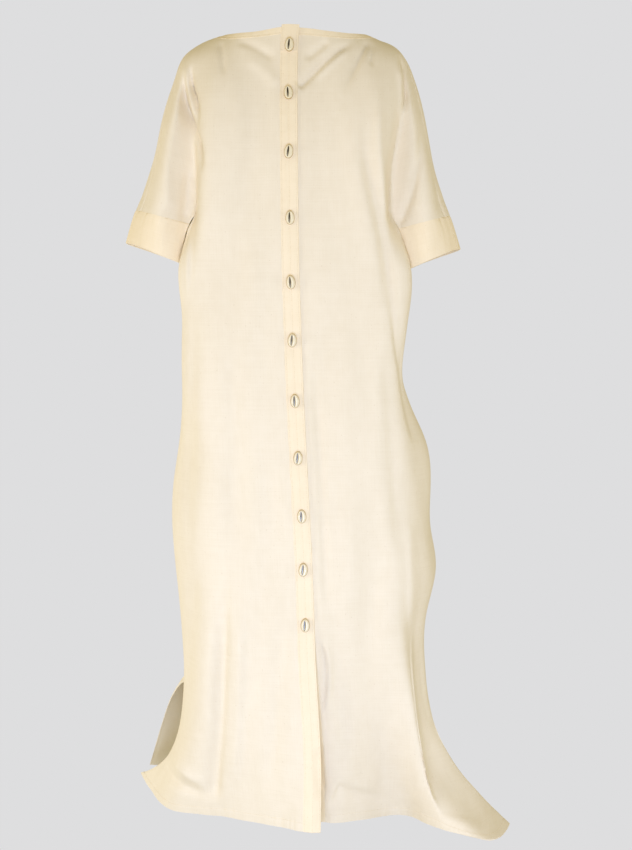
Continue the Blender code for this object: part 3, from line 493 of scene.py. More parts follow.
class WornForm:
    """The robe's smooth middle surface, lofted through its sections."""

    def __init__(self) -> None:
        """Sets up the rings of the yoke, the body and both sleeves."""
        self.yoke = np.array([self.full_ring(self.yoke_half, row) for row in YOKE])
        self.yoke_drops = [row.drop for row in YOKE]
        self.body = self.body_rings()
        self.body_drops = self.yoke_drops + [row.drop for row in TORSO]
        self.sleeves = {side: self.sleeve_rings(side) for side in Side}
        self.sleeve_drops = self.yoke_drops + [row.drop for row in SLEEVE]

    @staticmethod
    def front_points(row: YokeRow | BodyRow, side: int) -> list[tuple[float, float]]:
        """Front centre, chest and lobe of a section, for the side's sign."""
        chest_y = mix(row.front, row.lobe_front, CHEST_DEPTH_SHARE)
        lobe_x = row.sway + side * row.lobe_x
        chest = (mix(row.centre, lobe_x, 0.5), chest_y)
        return [(row.centre, row.front), chest, (lobe_x, row.lobe_front)]

    @staticmethod
    def back_points(row: YokeRow | BodyRow, side: int) -> list[tuple[float, float]]:
        """Lobe, shoulder blade and centre of the back."""
        blade_y = mix(row.back, row.lobe_back, CHEST_DEPTH_SHARE)
        lobe_x = row.sway + side * row.lobe_x
        return [(lobe_x, row.lobe_back), (mix(row.sway, lobe_x, 0.5), blade_y), (row.sway, row.back)]

    def yoke_half(self, row: YokeRow, side: int) -> Spots:
        """Twelve points of the yoke's section, from the front centre to the back centre."""
        arm_z = -row.arm_drop * (1 + side * ARM_SLOPE)
        shares = (0, 0, LOBE_SHARE, UNDERARM_SHARE, ARM_SHARE, 1, 1, ARM_SHARE)
        shares += (UNDERARM_SHARE, LOBE_SHARE, 0, 0)
        flat = self.front_points(row, side)
        flat += [(row.sway + side * x, y) for x, y in (
            (row.valley_x, row.valley_front),
            (row.arm_x, row.arm_front),
            (row.seam_x, row.seam_y),
            (row.out_x, row.out_y),
            (row.arm_x, row.arm_back),
            (row.valley_x, row.valley_back),
        )]
        flat += self.back_points(row, side)
        return [
            (x, y, mix(-row.drop, arm_z, share) - row.dip * dip)
            for (x, y), share, dip in zip(flat, shares, DIP_SHARES)
        ]

    def body_half(self, row: BodyRow, side: int) -> Spots:
        """Nine points of the body's section."""
        flat = self.front_points(row, side)
        flat += [(row.sway + side * x, y) for x, y in (
            (row.flank_x, row.flank_front),
            (row.side_x, row.side_y),
            (row.flank_x, row.flank_back),
        )]
        flat += self.back_points(row, side)
        return [(x, y, -row.drop) for x, y in flat]

    @staticmethod
    def sleeve_ring(row: SleeveRow, sway: float, side: int) -> Spots:
        """Seven points round a sleeve: underarm front, arm, seam, outside, arm, back, underarm."""
        outer = -row.out_drop * (1 + side * ARM_SLOPE)
        inner = -row.in_drop * (1 + side * ARM_SLOPE)
        points = (
            (row.inner_x, row.inner_front, inner),
            (row.arm_x, row.arm_front, mix(inner, outer, SLEEVE_ARM_SHARE)),
            (row.seam_x, row.seam_y, outer),
            (row.out_x, row.out_y, outer),
            (row.arm_x, row.arm_back, mix(inner, outer, SLEEVE_ARM_SHARE)),
            (row.inner_x, row.inner_back, inner),
            (row.middle_x, 0.0, inner),
        )
        return [(sway + side * x, y, z) for x, y, z in points]

    @staticmethod
    def full_ring(half: Callable[..., Spots], row: YokeRow | BodyRow) -> Spots:
        """The whole section: down the wearer's right (-X) half and back up the left one."""
        return half(row, -1) + half(row, 1)[-2:0:-1]

    def underarm(self, side: int) -> list[float]:
        """Where the body and a sleeve part, between the arm and the chest."""
        column = VALLEY if side < 0 else LEFT_VALLEY
        return [YOKE[-1].sway + side * UNDERARM_X, 0.0, self.yoke[-1][column][2]]

    def body_rings(self) -> Array:
        """The body's sections. The first ones follow the yoke's, so that its lines run on."""
        rings = []
        for ring in self.yoke:
            right = [*ring[: VALLEY + 1], self.underarm(-1), *ring[BACK_VALLEY : BACK_CENTRE + 1]]
            left = [*ring[BACK_CENTRE + 1 : LEFT_BACK_VALLEY + 1], self.underarm(1), *ring[LEFT_VALLEY:]]
            rings.append(right + left)
        rings += [self.full_ring(self.body_half, row) for row in TORSO]
        return np.array(rings)

    def sleeve_rings(self, side: Side) -> Array:
        """One sleeve's sections, the first ones from the yoke."""
        if side is Side.RIGHT:
            columns = range(VALLEY, BACK_VALLEY + 1)
        else:
            columns = range(LEFT_VALLEY, LEFT_BACK_VALLEY - 1, -1)
        rings = [[*ring[columns], self.underarm(side.value)] for ring in self.yoke]
        rings += [self.sleeve_ring(row, YOKE[-1].sway, side.value) for row in SLEEVE]
        return np.array(rings)

    @staticmethod
    def loft(rings: Array, drops: Sequence[float], u: Array, v: Array) -> Array:
        """The points on a stack of closed sections at ring places u and drops v."""
        rows = row_weights(drops, v)
        across = ring_weights(rings.shape[1], u)
        points = (rows @ rings.reshape(len(drops), -1)).reshape(len(v), rings.shape[1], 3)
        return np.einsum("nc,ncd->nd", across, points)

    @staticmethod
    def hem_place(panel: Panel, span: Sequence[float]) -> Array:
        """The body ring's place of a panel's span."""
        span = np.asarray(span, float)
        if panel is Panel.RIGHT:
            return span
        if panel is Panel.LEFT:
            return BODY_SPANS - span
        return RIGHT_SIDE + span

    @staticmethod
    def panel_span(panel: Panel, u: Array) -> Array:
        """The panel's span at a ring place, level past the front centre."""
        if panel is Panel.BACK:
            return u - RIGHT_SIDE
        signed = (u + BODY_SPANS / 2) % BODY_SPANS - BODY_SPANS / 2
        return np.maximum(signed if panel is Panel.RIGHT else -signed, 0.0)

    def hem_pull(self, panel: Panel, span: Array, v: Array) -> Array:
        """How far a stretch is pulled from the body's section towards its place at the hem."""
        points = HEMS[panel]
        knots = [point.span for point in points]
        foot = np.full(len(knots), HEM_DROP)
        home = self.loft(self.body, self.body_drops, self.hem_place(panel, knots), foot)
        weights = row_weights(knots, np.clip(span, knots[0], knots[-1]))
        pull = np.zeros((len(v), 3))
        for k, point in enumerate(points):
            reach = np.clip((v - point.start) / (HEM_DROP - point.start), 0.0, None) ** point.power
            target = np.array([point.x, point.y, -point.drop])
            pull += (weights[:, k] * reach)[:, None] * (target - home[k])
        return pull

    @staticmethod
    def fade(v: Array, start: float, reach: float) -> Array:
        """A weight that falls from 1 at a drop to 0 past its reach."""
        t = np.clip((v - start) / reach, 0.0, 1.0)
        return ((1 - t) ** 2 * (1 + 2 * t))[:, None]

    def body_fit(self, u: Array) -> Array:
        """What brings the body's top row onto the yoke's last row, where they share one."""
        split = np.full(len(u), SPLIT_DROP)
        own = self.loft(self.body, self.body_drops, u, split)
        u = u % BODY_SPANS
        right_front = u <= RIGHT_SIDE - 1
        left_front = u >= LEFT_SIDE + 1
        back = (u >= RIGHT_SIDE + 1) & (u <= LEFT_SIDE - 1)
        on_yoke = (u, u + YOKE_SPANS - BODY_SPANS, u + BACK_VALLEY - RIGHT_SIDE - 1)
        yoke_u = np.select([right_front, left_front, back], on_yoke, 0.0)
        shared = (right_front | left_front | back)[:, None]
        return np.where(shared, self.loft(self.yoke, self.yoke_drops, yoke_u, split) - own, 0.0)

    def sleeve_fit(self, side: Side, u: Array) -> Array:
        """What brings a sleeve's top row onto the rows of the yoke and the body that it meets."""
        split = np.full(len(u), SPLIT_DROP)
        own = self.loft(self.sleeves[side], self.sleeve_drops, u, split)
        u = u % SLEEVE_SPANS
        if side is Side.RIGHT:
            yoke_u = VALLEY + u
            body_u = RIGHT_SIDE + SLEEVE_MIDDLE - u
        else:
            yoke_u = LEFT_VALLEY - u
            body_u = LEFT_SIDE - SLEEVE_MIDDLE + u
        on_yoke = self.loft(self.yoke, self.yoke_drops, yoke_u, split)
        on_body = self.loft(self.body, self.body_drops, body_u, split)
        return np.where((u <= SLEEVE_BACK)[:, None], on_yoke, on_body) - own


@dataclass(frozen=True)
class Stretch:
    """A stretch of the worn form: its sections, and the panel or the sleeve that it belongs to."""

    form: WornForm
    region: Region
    panel: Panel = Panel.RIGHT
    side: Side = Side.RIGHT

    def points(self, u: Array, v: Array) -> Array:
        """The points at ring places u and drops v."""
        form = self.form
        if self.region is Region.YOKE:
            return form.loft(form.yoke, form.yoke_drops, u, v)
        if self.region is Region.SLEEVE:
            at = form.loft(form.sleeves[self.side], form.sleeve_drops, u, v)
            reach = CUFF_HEM_DROP - SPLIT_DROP
            return at + form.sleeve_fit(self.side, u) * form.fade(v, SPLIT_DROP, reach)
        at = form.loft(form.body, form.body_drops, u, v)
        at += form.body_fit(u) * form.fade(v, SPLIT_DROP, FIT_REACH)
        return at + form.hem_pull(self.panel, form.panel_span(self.panel, u), v)

    def normals(self, u: Array, v: Array, low: float, high: float = HEM_DROP) -> Array:
        """The outward normals there, probed between the drops low and high."""
        ahead = np.minimum(v + PROBE, high)
        behind = np.maximum(v - PROBE, low)
        down = self.points(u, ahead) - self.points(u, behind)
        around = self.points(u + PROBE, v) - self.points(u - PROBE, v)
        if self.region is Region.SLEEVE and self.side is Side.LEFT:
            around = -around
        found = np.cross(around, down)
        return found / np.linalg.norm(found, axis=1)[:, None]

    def placket_edge(self, v: Array) -> Array:
        """How far, in ring places, the placket's edge is from its middle at each drop."""
        zero = np.zeros(len(v))
        width = self.points(zero + PROBE, v) - self.points(zero - PROBE, v)
        return PLACKET_WIDTH / 2 / (np.linalg.norm(width, axis=1) / (2 * PROBE))


class Ripple:
    """Uneven ripples along a line: waves of unlike lengths, the same on each run."""

    def __init__(self, seed: int, shortest: float, longest: float, waves: int = 6) -> None:
        """Draws the waves' lengths and phases."""
        draw = np.random.default_rng(seed)
        self.lengths = draw.uniform(shortest, longest, waves)
        self.phases = draw.uniform(0, 2 * math.pi, waves)

    def at(self, along: Array) -> Array:
        """The ripple's height at each place, mostly between -1 and 1."""
        turns = 2 * math.pi * along[:, None] / self.lengths + self.phases
        return np.sin(turns).sum(axis=1) / math.sqrt(len(self.lengths))


class ClothRelief:
    """The creases, and the slight waves that worn calico has all over."""

    CREASE_POINTS = 24
    FACING_BAND = 0.4
    STRAIGHTNESS = 3.0
    WAVES = 26
    WAVE_HEIGHT = 0.010

    def __init__(self, seed: int = 7) -> None:
        """Draws the waves: mostly long and upright, since the cloth hangs."""
        draw = np.random.default_rng(seed)
        across = draw.uniform(0.035, 0.150, self.WAVES)
        down = draw.uniform(0.16, 0.70, self.WAVES)
        depth = draw.uniform(0.10, 0.30, self.WAVES)
        sign = draw.choice((-1.0, 1.0), self.WAVES)
        self.turns = 2 * math.pi * np.stack([1 / across, 1 / depth, sign / down], axis=1)
        self.phases = draw.uniform(0, 2 * math.pi, self.WAVES)
        self.heights = self.WAVE_HEIGHT * across / math.sqrt(self.WAVES) * 1.5

    def crease_height(self, crease: Crease, points: Array, normals: Array) -> Array:
        """How far one crease moves each point out.

        Args:
            crease: The crease.
            points: Points on the form.
            normals: Their outward normals.

        Returns:
            One height for each point.
        """
        seen = np.stack([points[:, 0], -points[:, 2]], axis=1)
        knots = np.array(crease.line)
        places = np.linspace(0, len(knots) - 1, self.CREASE_POINTS)
        line = row_weights(np.arange(len(knots)), places) @ knots
        height = np.zeros(len(points))
        reach = 3 * max(crease.left, crease.right)
        near = ((seen > line.min(0) - reach) & (seen < line.max(0) + reach)).all(axis=1)
        if not near.any():
            return height
        seen = seen[near]
        nearest = np.full(len(seen), np.inf)
        along = np.zeros(len(seen))
        hand = np.zeros(len(seen))
        for k in range(len(line) - 1):
            leg = line[k + 1] - line[k]
            off = seen - line[k]
            t = np.clip(off @ leg / (leg @ leg), 0.0, 1.0)
            away = np.linalg.norm(off - t[:, None] * leg, axis=1)
            closer = away < nearest
            nearest = np.where(closer, away, nearest)
            along = np.where(closer, (k + t) / (len(line) - 1), along)
            hand = np.where(closer, leg[0] * off[:, 1] - leg[1] * off[:, 0], hand)
        width = np.where(hand > 0, crease.right, crease.left)
        first, last = crease.fades
        ends = smooth_step(along / first) * smooth_step((1 - along) / last)
        facing = normals[near, 1] * crease.facing.value
        turned = smooth_step(facing / self.FACING_BAND)
        height[near] = crease.depth * bell(nearest, width, crease.power) * ends * turned
        return height

    def shift_at(self, points: Array, normals: Array) -> Array:
        """How the waves and the creases move each point.

        The waves move the cloth along its normal. A crease moves it mostly straight in or out of the
        face that it is on, so that it stays a groove where it runs beside the arm.

        Args:
            points: Points on the form.
            normals: Their outward normals.

        Returns:
            One vector for each point.
        """
        waves = np.sin(points @ self.turns.T + self.phases) @ self.heights
        shift = normals * waves[:, None]
        for facing in Facing:
            way = normals + self.STRAIGHTNESS * np.array([0.0, facing.value, 0.0])
            way /= np.maximum(np.linalg.norm(way, axis=1), 0.1)[:, None]
            height = np.zeros(len(points))
            for crease in CREASES:
                if crease.facing is facing:
                    height += self.crease_height(crease, points, normals)
            shift += way * height[:, None]
        return shift


class Patch:
    """A grid of points on a stretch of the form, with its cloth's own measures.

    "across" is the distance along each row from its zero column, "down" the mean distance from the
    patch's first row, "to_hem" the distance to the last row along each column, "to_seam" the
    distance to the nearest seam and "ring" the place round the body, counted from the front centre.
    """

    def __init__(
        self,
        stretch: Stretch,
        u: Array,
        v: Array,
        low: float,
        *,
        flip: bool = False,
        zero: int = 0,
        start: tuple[float, float] = (0.0, 0.0),
        seams: Sequence[int] = (),
        hem: bool = False,
    ) -> None:
        """Lofts the grid.

        Args:
            stretch: Where the grid lies.
            u: Ring places, rows by columns.
            v: Drops, the same shape.
            low: The highest place (smallest drop) that the normals may probe.
            flip: Whether the columns run the other way round the robe.
            zero: The column where "across" is counted from.
            start: What "across" and "down" are at the zero column of the first row.
            seams: Columns where the cloth is sewn to another panel.
            hem: Whether the last row is the hem.
        """
        self.shape = u.shape
        self.flip = flip
        flat_u = u.ravel()
        flat_v = v.ravel()
        self.points = stretch.points(flat_u, flat_v)
        self.normals = stretch.normals(flat_u, flat_v, low)
        net = self.points.reshape(*u.shape, 3)
        steps = np.linalg.norm(np.diff(net, axis=1), axis=2)
        across = np.concatenate([np.zeros((u.shape[0], 1)), np.cumsum(steps, axis=1)], axis=1)
        if flip:
            across = -across
        across -= across[:, [zero]]
        legs = np.linalg.norm(np.diff(net, axis=0), axis=2)
        falls = np.concatenate([np.zeros((1, u.shape[1])), np.cumsum(legs, axis=0)])
        far = np.full(u.shape, FAR)
        sewn = far.copy()
        for column in seams:
            sewn = np.minimum(sewn, np.abs(across - across[:, [column]]))
        self.across = (across + start[0]).ravel()
        self.down = np.repeat(falls.mean(axis=1)[:, None] + start[1], u.shape[1], axis=1).ravel()
        self.to_hem = (falls[-1] - falls if hem else far).ravel()
        self.along_hem = np.repeat(across[-1][None], u.shape[0], axis=0).ravel()
        self.to_seam = sewn.ravel()
        signed = (flat_u + BODY_SPANS / 2) % BODY_SPANS - BODY_SPANS / 2
        self.ring = np.abs(signed) if stretch.region is Region.BODY else np.full(len(flat_u), FAR)

    def corner(self, row: int, column: int) -> tuple[float, float]:
        """The across and down measures of one grid point."""
        k = (row % self.shape[0]) * self.shape[1] + column % self.shape[1]
        return float(self.across[k]), float(self.down[k])

    def faces(self, start: int) -> Array:
        """The grid's four-sided faces, facing outwards, numbered from start."""
        rows, columns = self.shape
        index = np.arange(rows * columns).reshape(rows, columns) + start
        a, b = index[:-1, :-1].ravel(), index[:-1, 1:].ravel()
        c, d = index[1:, 1:].ravel(), index[1:, :-1].ravel()
        return np.stack((a, d, c, b) if self.flip else (a, b, c, d), axis=1)


def grid(columns: Array, rows: Array) -> tuple[Array, Array]:
    """Matching arrays of ring places and drops, the places given once or for each row."""
    columns = np.asarray(columns, float)
    if columns.ndim == 1:
        columns = np.repeat(columns[None], len(rows), axis=0)
    return columns, np.repeat(np.asarray(rows, float)[:, None], columns.shape[1], axis=1)


def places(region: Region, first: int, last: int, spacing: float) -> Array:
    """Ring places from one column to a later one, as many as the spacing asks for.

    Args:
        region: Whose columns they are.
        first: The first column, which may lie before 0.
        last: The last column.
        spacing: Size of a facet.

    Returns:
        The places, rising.
    """
    runs = []
    lengths = STRETCHES[region]
    for k in range(first, last):
        count = max(2, math.ceil(lengths[k % len(lengths)] / spacing))
        runs.append(np.linspace(k, k + 1, count + 1)[:-1])
    return np.concatenate([*runs, [float(last)]])


def drops(first: float, last: float, spacing: float) -> Array:
    """Evenly spaced drops between two."""
    return np.linspace(first, last, max(2, math.ceil((last - first) / spacing) + 1))


def rows_to_hem(spacing: float) -> Array:
    """Drops down the body, closer together at the hem."""
    fine_from = HEM_DROP - FINE_HEM
    return np.concatenate([
        drops(SPLIT_DROP, fine_from, spacing)[:-1], drops(fine_from, HEM_DROP, spacing / 2),
    ])


def facets(region: Region, first: int, last: int, spacing: float) -> int:
    """How many facets lie between two columns."""
    return len(places(region, first, last, spacing)) - 1


@dataclass
class Sheet:
    """A sheet of cloth: patches welded into one net, with its relief, ready to become a shell."""

    patches: list[Patch]
    relief: ClothRelief
    thickness: float
    offset: float = 0.0
    detail: "Callable[[Sheet], tuple[Array, Array]] | None" = None
    points: Array = field(init=False)
    normals: Array = field(init=False)
    faces: Array = field(init=False)
    index: Array = field(init=False)
    measures: dict[str, Array] = field(init=False)
    raised: Array = field(init=False)
    thick: Array = field(init=False)

    MEASURES = ("across", "down", "to_hem", "along_hem", "to_seam", "ring")
    # How far its rounded edge runs in, as a share of its thickness.
    EDGE_ROUND = 0.22

    def __post_init__(self) -> None:
        """Makes shared points one, averages their normals and applies the relief."""
        points = np.concatenate([patch.points for patch in self.patches])
        normals = np.concatenate([patch.normals for patch in self.patches])
        starts = np.cumsum([0] + [len(patch.points) for patch in self.patches])
        faces = np.concatenate([p.faces(start) for p, start in zip(self.patches, starts)])
        rounded = np.round(points / SAME_POINT).astype(np.int64)
        _, first, index = np.unique(rounded, axis=0, return_index=True, return_inverse=True)
        self.index = index.reshape(-1)
        summed = np.zeros((len(first), 3))
        np.add.at(summed, self.index, normals)
        self.normals = summed / np.linalg.norm(summed, axis=1)[:, None]
        self.points = points[first]
        self.faces = self.index[faces]
        self.measures = {
            name: np.concatenate([getattr(patch, name) for patch in self.patches])[first]
            for name in self.MEASURES
        }
        self.points = self.points + self.relief.shift_at(self.points, self.normals)
        self.raised = np.full(len(self.points), self.offset)
        self.thick = np.full(len(self.points), self.thickness)
        if self.detail:
            raised, thicker = self.detail(self)
            self.raised = self.raised + raised
            self.thick = self.thick + thicker

    def rim(self) -> Array:
        """The sheet's open edges, in the direction of their faces."""
        ends = np.concatenate([self.faces[:, [k, (k + 1) % 4]] for k in range(4)])
        key = np.sort(ends, axis=1)
        _, index, count = np.unique(key, axis=0, return_inverse=True, return_counts=True)
        return ends[count[index.reshape(-1)] == 1]

    def inward(self, rim: Array) -> tuple[Array, Array]:
        """The rim's points and the unit directions from them into the cloth."""
        centres = self.points[self.faces].mean(axis=1)
        pull = np.zeros_like(self.points)
        for corner in range(4):
            np.add.at(pull, self.faces[:, corner], centres - self.points[self.faces[:, corner]])
        tangent = np.zeros_like(self.points)
        step = self.points[rim[:, 1]] - self.points[rim[:, 0]]
        step /= np.linalg.norm(step, axis=1)[:, None]
        np.add.at(tangent, rim[:, 0], step)
        np.add.at(tangent, rim[:, 1], step)
        on_rim = np.unique(rim)
        along = tangent[on_rim] / np.linalg.norm(tangent[on_rim], axis=1)[:, None]
        move = pull[on_rim]
        move -= (move * along).sum(axis=1)[:, None] * along
        return on_rim, move / np.linalg.norm(move, axis=1)[:, None]

    def outer(self) -> Array:
        """The points of the outer skin."""
        return self.points + self.normals * (self.raised + self.thick / 2)[:, None]

    def net(self, patch: int) -> tuple[Array, Array]:
        """One patch's outer skin and normals as grids, for laying stitches on."""
        start = sum(len(p.points) for p in self.patches[:patch])
        chosen = self.index[start : start + len(self.patches[patch].points)]
        shape = (*self.patches[patch].shape, 3)
        return self.outer()[chosen].reshape(shape), self.normals[chosen].reshape(shape)

    def area(self) -> float:
        """The middle surface's area, creases included."""
        at = self.points + self.normals * self.raised[:, None]
        a, b, c, d = (at[self.faces[:, k]] for k in range(4))
        return float(np.linalg.norm(np.cross(c - a, d - b), axis=1).sum() / 2)

    def shell(self, name: str, material: Material) -> Object:
        """A closed thin shell with a rounded edge.

        Args:
            name: The object's name.
            material: Its finish.

        Returns:
            The new object, with the cloth's own measures as its UV map.
        """
        rim = self.rim()
        on_rim, inward = self.inward(rim)
        round_in = self.EDGE_ROUND * self.thickness
        base = self.points.copy()
        base[on_rim] += inward * (round_in - SEAM_TUCK)
        half = self.thick / 2
        outer = base + self.normals * (self.raised + half)[:, None]
        inner = base + self.normals * (self.raised - half)[:, None]
        edge = self.points[on_rim] - inward * SEAM_TUCK
        edge += self.normals[on_rim] * self.raised[on_rim][:, None]
        count = len(base)
        place = np.zeros(count, int)
        place[on_rim] = np.arange(len(on_rim)) + 2 * count
        start, end = rim.T
        every = np.concatenate([
            self.faces,
            self.faces[:, ::-1] + count,
            np.stack([end, start, place[start], place[end]], axis=1),
            np.stack([place[end], place[start], start + count, end + count], axis=1),
        ])
        flat = np.stack([self.measures["across"], -self.measures["down"]], axis=1)
        made = make_mesh(name, np.concatenate([outer, inner, edge]), every.tolist(), material)
        lay_uv(made, np.concatenate([flat, flat, flat[on_rim]]))
        return made


def make_mesh(
    name: str, points: Array, faces: Sequence[Sequence[int]], material: Material
) -> Object:
    """Makes a smooth-shaded mesh object and links it to the scene."""
    mesh = bpy.data.meshes.new(name)
    mesh.from_pydata(points.tolist(), [], faces)
    mesh.update()
    mesh.shade_smooth()
    mesh.set_sharp_from_angle(angle=SHARP_EDGE)
    mesh.materials.append(material)
    made = bpy.data.objects.new(name, mesh)
    bpy.context.scene.collection.objects.link(made)
    return made


def closed_tube(rings: int, sides: int, flip: bool = False) -> list[list[int]]:
    """The faces between stacked rings of points, and one over each end."""
    index = np.arange(rings * sides).reshape(rings, sides)
    a, b = index[:-1], np.roll(index[:-1], -1, axis=1)
    c, d = np.roll(index[1:], -1, axis=1), index[1:]
    faces = np.stack([a, b, c, d], axis=2).reshape(-1, 4)
    if flip:
        return [*faces[:, ::-1].tolist(), index[0].tolist(), index[-1][::-1].tolist()]
    return [*faces.tolist(), index[-1].tolist(), index[0][::-1].tolist()]


def carry(made: Object, name: str, kind: str, values: Array) -> None:
    """Stores a named value for each point of an object's mesh."""
    layer = made.data.attributes.new(name, kind, "POINT")
    slot = "vector" if kind == "FLOAT_VECTOR" else "value"
    layer.data.foreach_set(slot, values.astype(np.float32).ravel())


def lay_uv(made: Object, flat: Array) -> None:
    """Gives a mesh a UV map from one flat place, in metres, for each vertex."""
    mesh = made.data
    corners = np.zeros(len(mesh.loops), np.int32)
    mesh.loops.foreach_get("vertex_index", corners)
    layer = mesh.uv_layers.new(name="cloth")
    layer.uv.foreach_set("vector", flat[corners].astype(np.float32).ravel())


def add_node(
    tree: NodeTree,
    kind: str,
    inputs: dict[str | int, object] | None = None,
    **settings: object,
) -> Node:
    """Adds a node to a tree.

    Args:
        tree: The tree.
        kind: The node's type.
        inputs: Values or other nodes' sockets for its inputs, by name or number.
        settings: Its own settings.

    Returns:
        The new node.
    """
    node = tree.nodes.new(kind)
    for name, value in settings.items():
        setattr(node, name, value)
    for name, value in (inputs or {}).items():
        if isinstance(value, NodeSocket):
            tree.links.new(value, node.inputs[name])
        else:
            node.inputs[name].default_value = value
    return node


def linear(hex_colour: str) -> tuple[float, float, float, float]:
    """The linear colour of an sRGB one written as six hex digits."""
    shares = [int(hex_colour[k : k + 2], 16) / 255 for k in (0, 2, 4)]
    bare = [c / 12.92 if c <= 0.04045 else ((c + 0.055) / 1.055) ** 2.4 for c in shares]
    return (*bare, 1.0)


def empty_material(name: str) -> tuple[Material, NodeTree]:
    """A new material with no nodes."""
    material = bpy.data.materials.new(name)
    material.use_nodes = True
    material.node_tree.nodes.clear()
    return material, material.node_tree


def reckon(tree: NodeTree, operation: str, *values: object) -> NodeSocket:
    """One sum on numbers, each a value or a socket."""
    return add_node(tree, "ShaderNodeMath", dict(enumerate(values)), operation=operation).outputs[0]


def stretch_range(
    tree: NodeTree, value: NodeSocket, low: float, high: float, top: float
) -> NodeSocket:
    """A value's range from low to high, drawn out to run from 0 to top."""
    ends = {"Value": value, "From Min": low, "From Max": high, "To Max": top}
    return add_node(tree, "ShaderNodeMapRange", ends).outputs[0]


def blend(
    tree: NodeTree, share: NodeSocket, first: object, second: object
) -> NodeSocket:
    """A colour the given share of the way between two, each in hex digits or a socket."""
    a, b = (linear(c) if isinstance(c, str) else c for c in (first, second))
    return add_node(tree, "ShaderNodeMix", {0: share, 6: a, 7: b}, data_type="RGBA").outputs[2]


def bump(tree: NodeTree, strength: float, depth: float, height: object) -> NodeSocket:
    """Fine relief as a normal."""
    told = {"Strength": strength, "Distance": depth, "Height": height}
    return add_node(tree, "ShaderNodeBump", told).outputs[0]


def surface(tree: NodeTree, told: dict[str, object]) -> None:
    """Ends a material with a surface of these settings."""
    shader = add_node(tree, "ShaderNodeBsdfPrincipled", told).outputs[0]
    add_node(tree, "ShaderNodeOutputMaterial", {0: shader})


@dataclass(frozen=True)
class CalicoFinish:
    """Unbleached plain-weave calico, washed and pressed.

    Slubs (thick places in the yarn) run along the warp and the weft, the colour is faintly mottled
    and small husk flecks are left in it. The weave is drawn twice as coarse as the real 0.45 mm.
    """

    name: str
    colour: str
    slub_colour: str
    fleck_colour: str = "A58A5A"
    weave_pitch: float = 0.9 * MM
    slub: float = 0.30
    roughness: float = 0.90

    def make(self) -> Material:
        """Builds the material from the cloth's own measures, which its UV map holds in metres."""
        material, tree = empty_material(self.name)
        cloth = add_node(tree, "ShaderNodeUVMap", uv_map="cloth").outputs[0]
        mottle = self.noise(tree, cloth, (55.0, 40.0), 3.0)
        blotch = self.noise(tree, cloth, (9.0, 5.0), 2.0)
        warp = self.noise(tree, cloth, (620.0, 14.0), 2.0)
        weft = self.noise(tree, cloth, (11.0, 560.0), 2.0)
        yarns = reckon(tree, "ADD", warp, weft)
        shade = reckon(tree, "ADD", reckon(tree, "ADD", mottle, yarns), blotch)
        # Four fields that each lie round a half: their sum is spread over the colour's whole range.
        slubs = stretch_range(tree, shade, 1.55, 2.45, self.slub)
        # Thick yarns hold more of the cotton's own yellow, so they look a little darker and warmer.
        base = blend(tree, slubs, self.colour, self.slub_colour)
        # Cotton husk left in the unbleached yarn: sparse tan flecks about 1 mm across.
        specks = self.noise(tree, cloth, (260.0, 190.0), 1.0)
        flecked = blend(tree, stretch_range(tree, specks, 0.76, 0.84, 0.16), base, self.fleck_colour)
        # The yarns' own relief, about a twelfth of a millimetre, keeps the cloth from looking ironed flat.
        height = reckon(tree, "MULTIPLY_ADD", yarns, 0.6, self.weave(tree, cloth))
        # Cotton fibre has an index near 1.54, and its fuzz gives a soft pale edge.
        surface(tree, {
            "Base Color": flecked, "Roughness": self.roughness, "IOR": 1.54,
            "Specular IOR Level": 0.25, "Sheen Weight": 0.12, "Sheen Roughness": 0.5,
            "Sheen Tint": linear(self.colour), "Normal": bump(tree, 0.35, 0.08 * MM, height),
        })
        return material

    @staticmethod
    def noise(tree: NodeTree, place: NodeSocket, per_metre: tuple[float, float],
              detail: float) -> NodeSocket:
        """A noise field with its own number of turns to the metre across and down the cloth."""
        scaled = add_node(
            tree, "ShaderNodeVectorMath", {0: place, 1: (*per_metre, 1.0)}, operation="MULTIPLY"
        ).outputs[0]
        return add_node(
            tree, "ShaderNodeTexNoise", {"Vector": scaled, "Scale": 1.0, "Detail": detail},
            noise_dimensions="2D",
        ).outputs[0]

    def weave(self, tree: NodeTree, place: NodeSocket) -> NodeSocket:
        """The over-and-under of a plain weave: the product of a wave across and a wave down."""
        turns = 2 * math.pi / (2 * self.weave_pitch)
        scaled = add_node(
            tree, "ShaderNodeVectorMath", {0: place, 1: (turns, turns, 0.0)}, operation="MULTIPLY"
        ).outputs[0]
        waves = add_node(tree, "ShaderNodeVectorMath", {0: scaled}, operation="SINE").outputs[0]
        parts = add_node(tree, "ShaderNodeSeparateXYZ", {0: waves}).outputs
        return reckon(tree, "MULTIPLY", parts[0], parts[1])


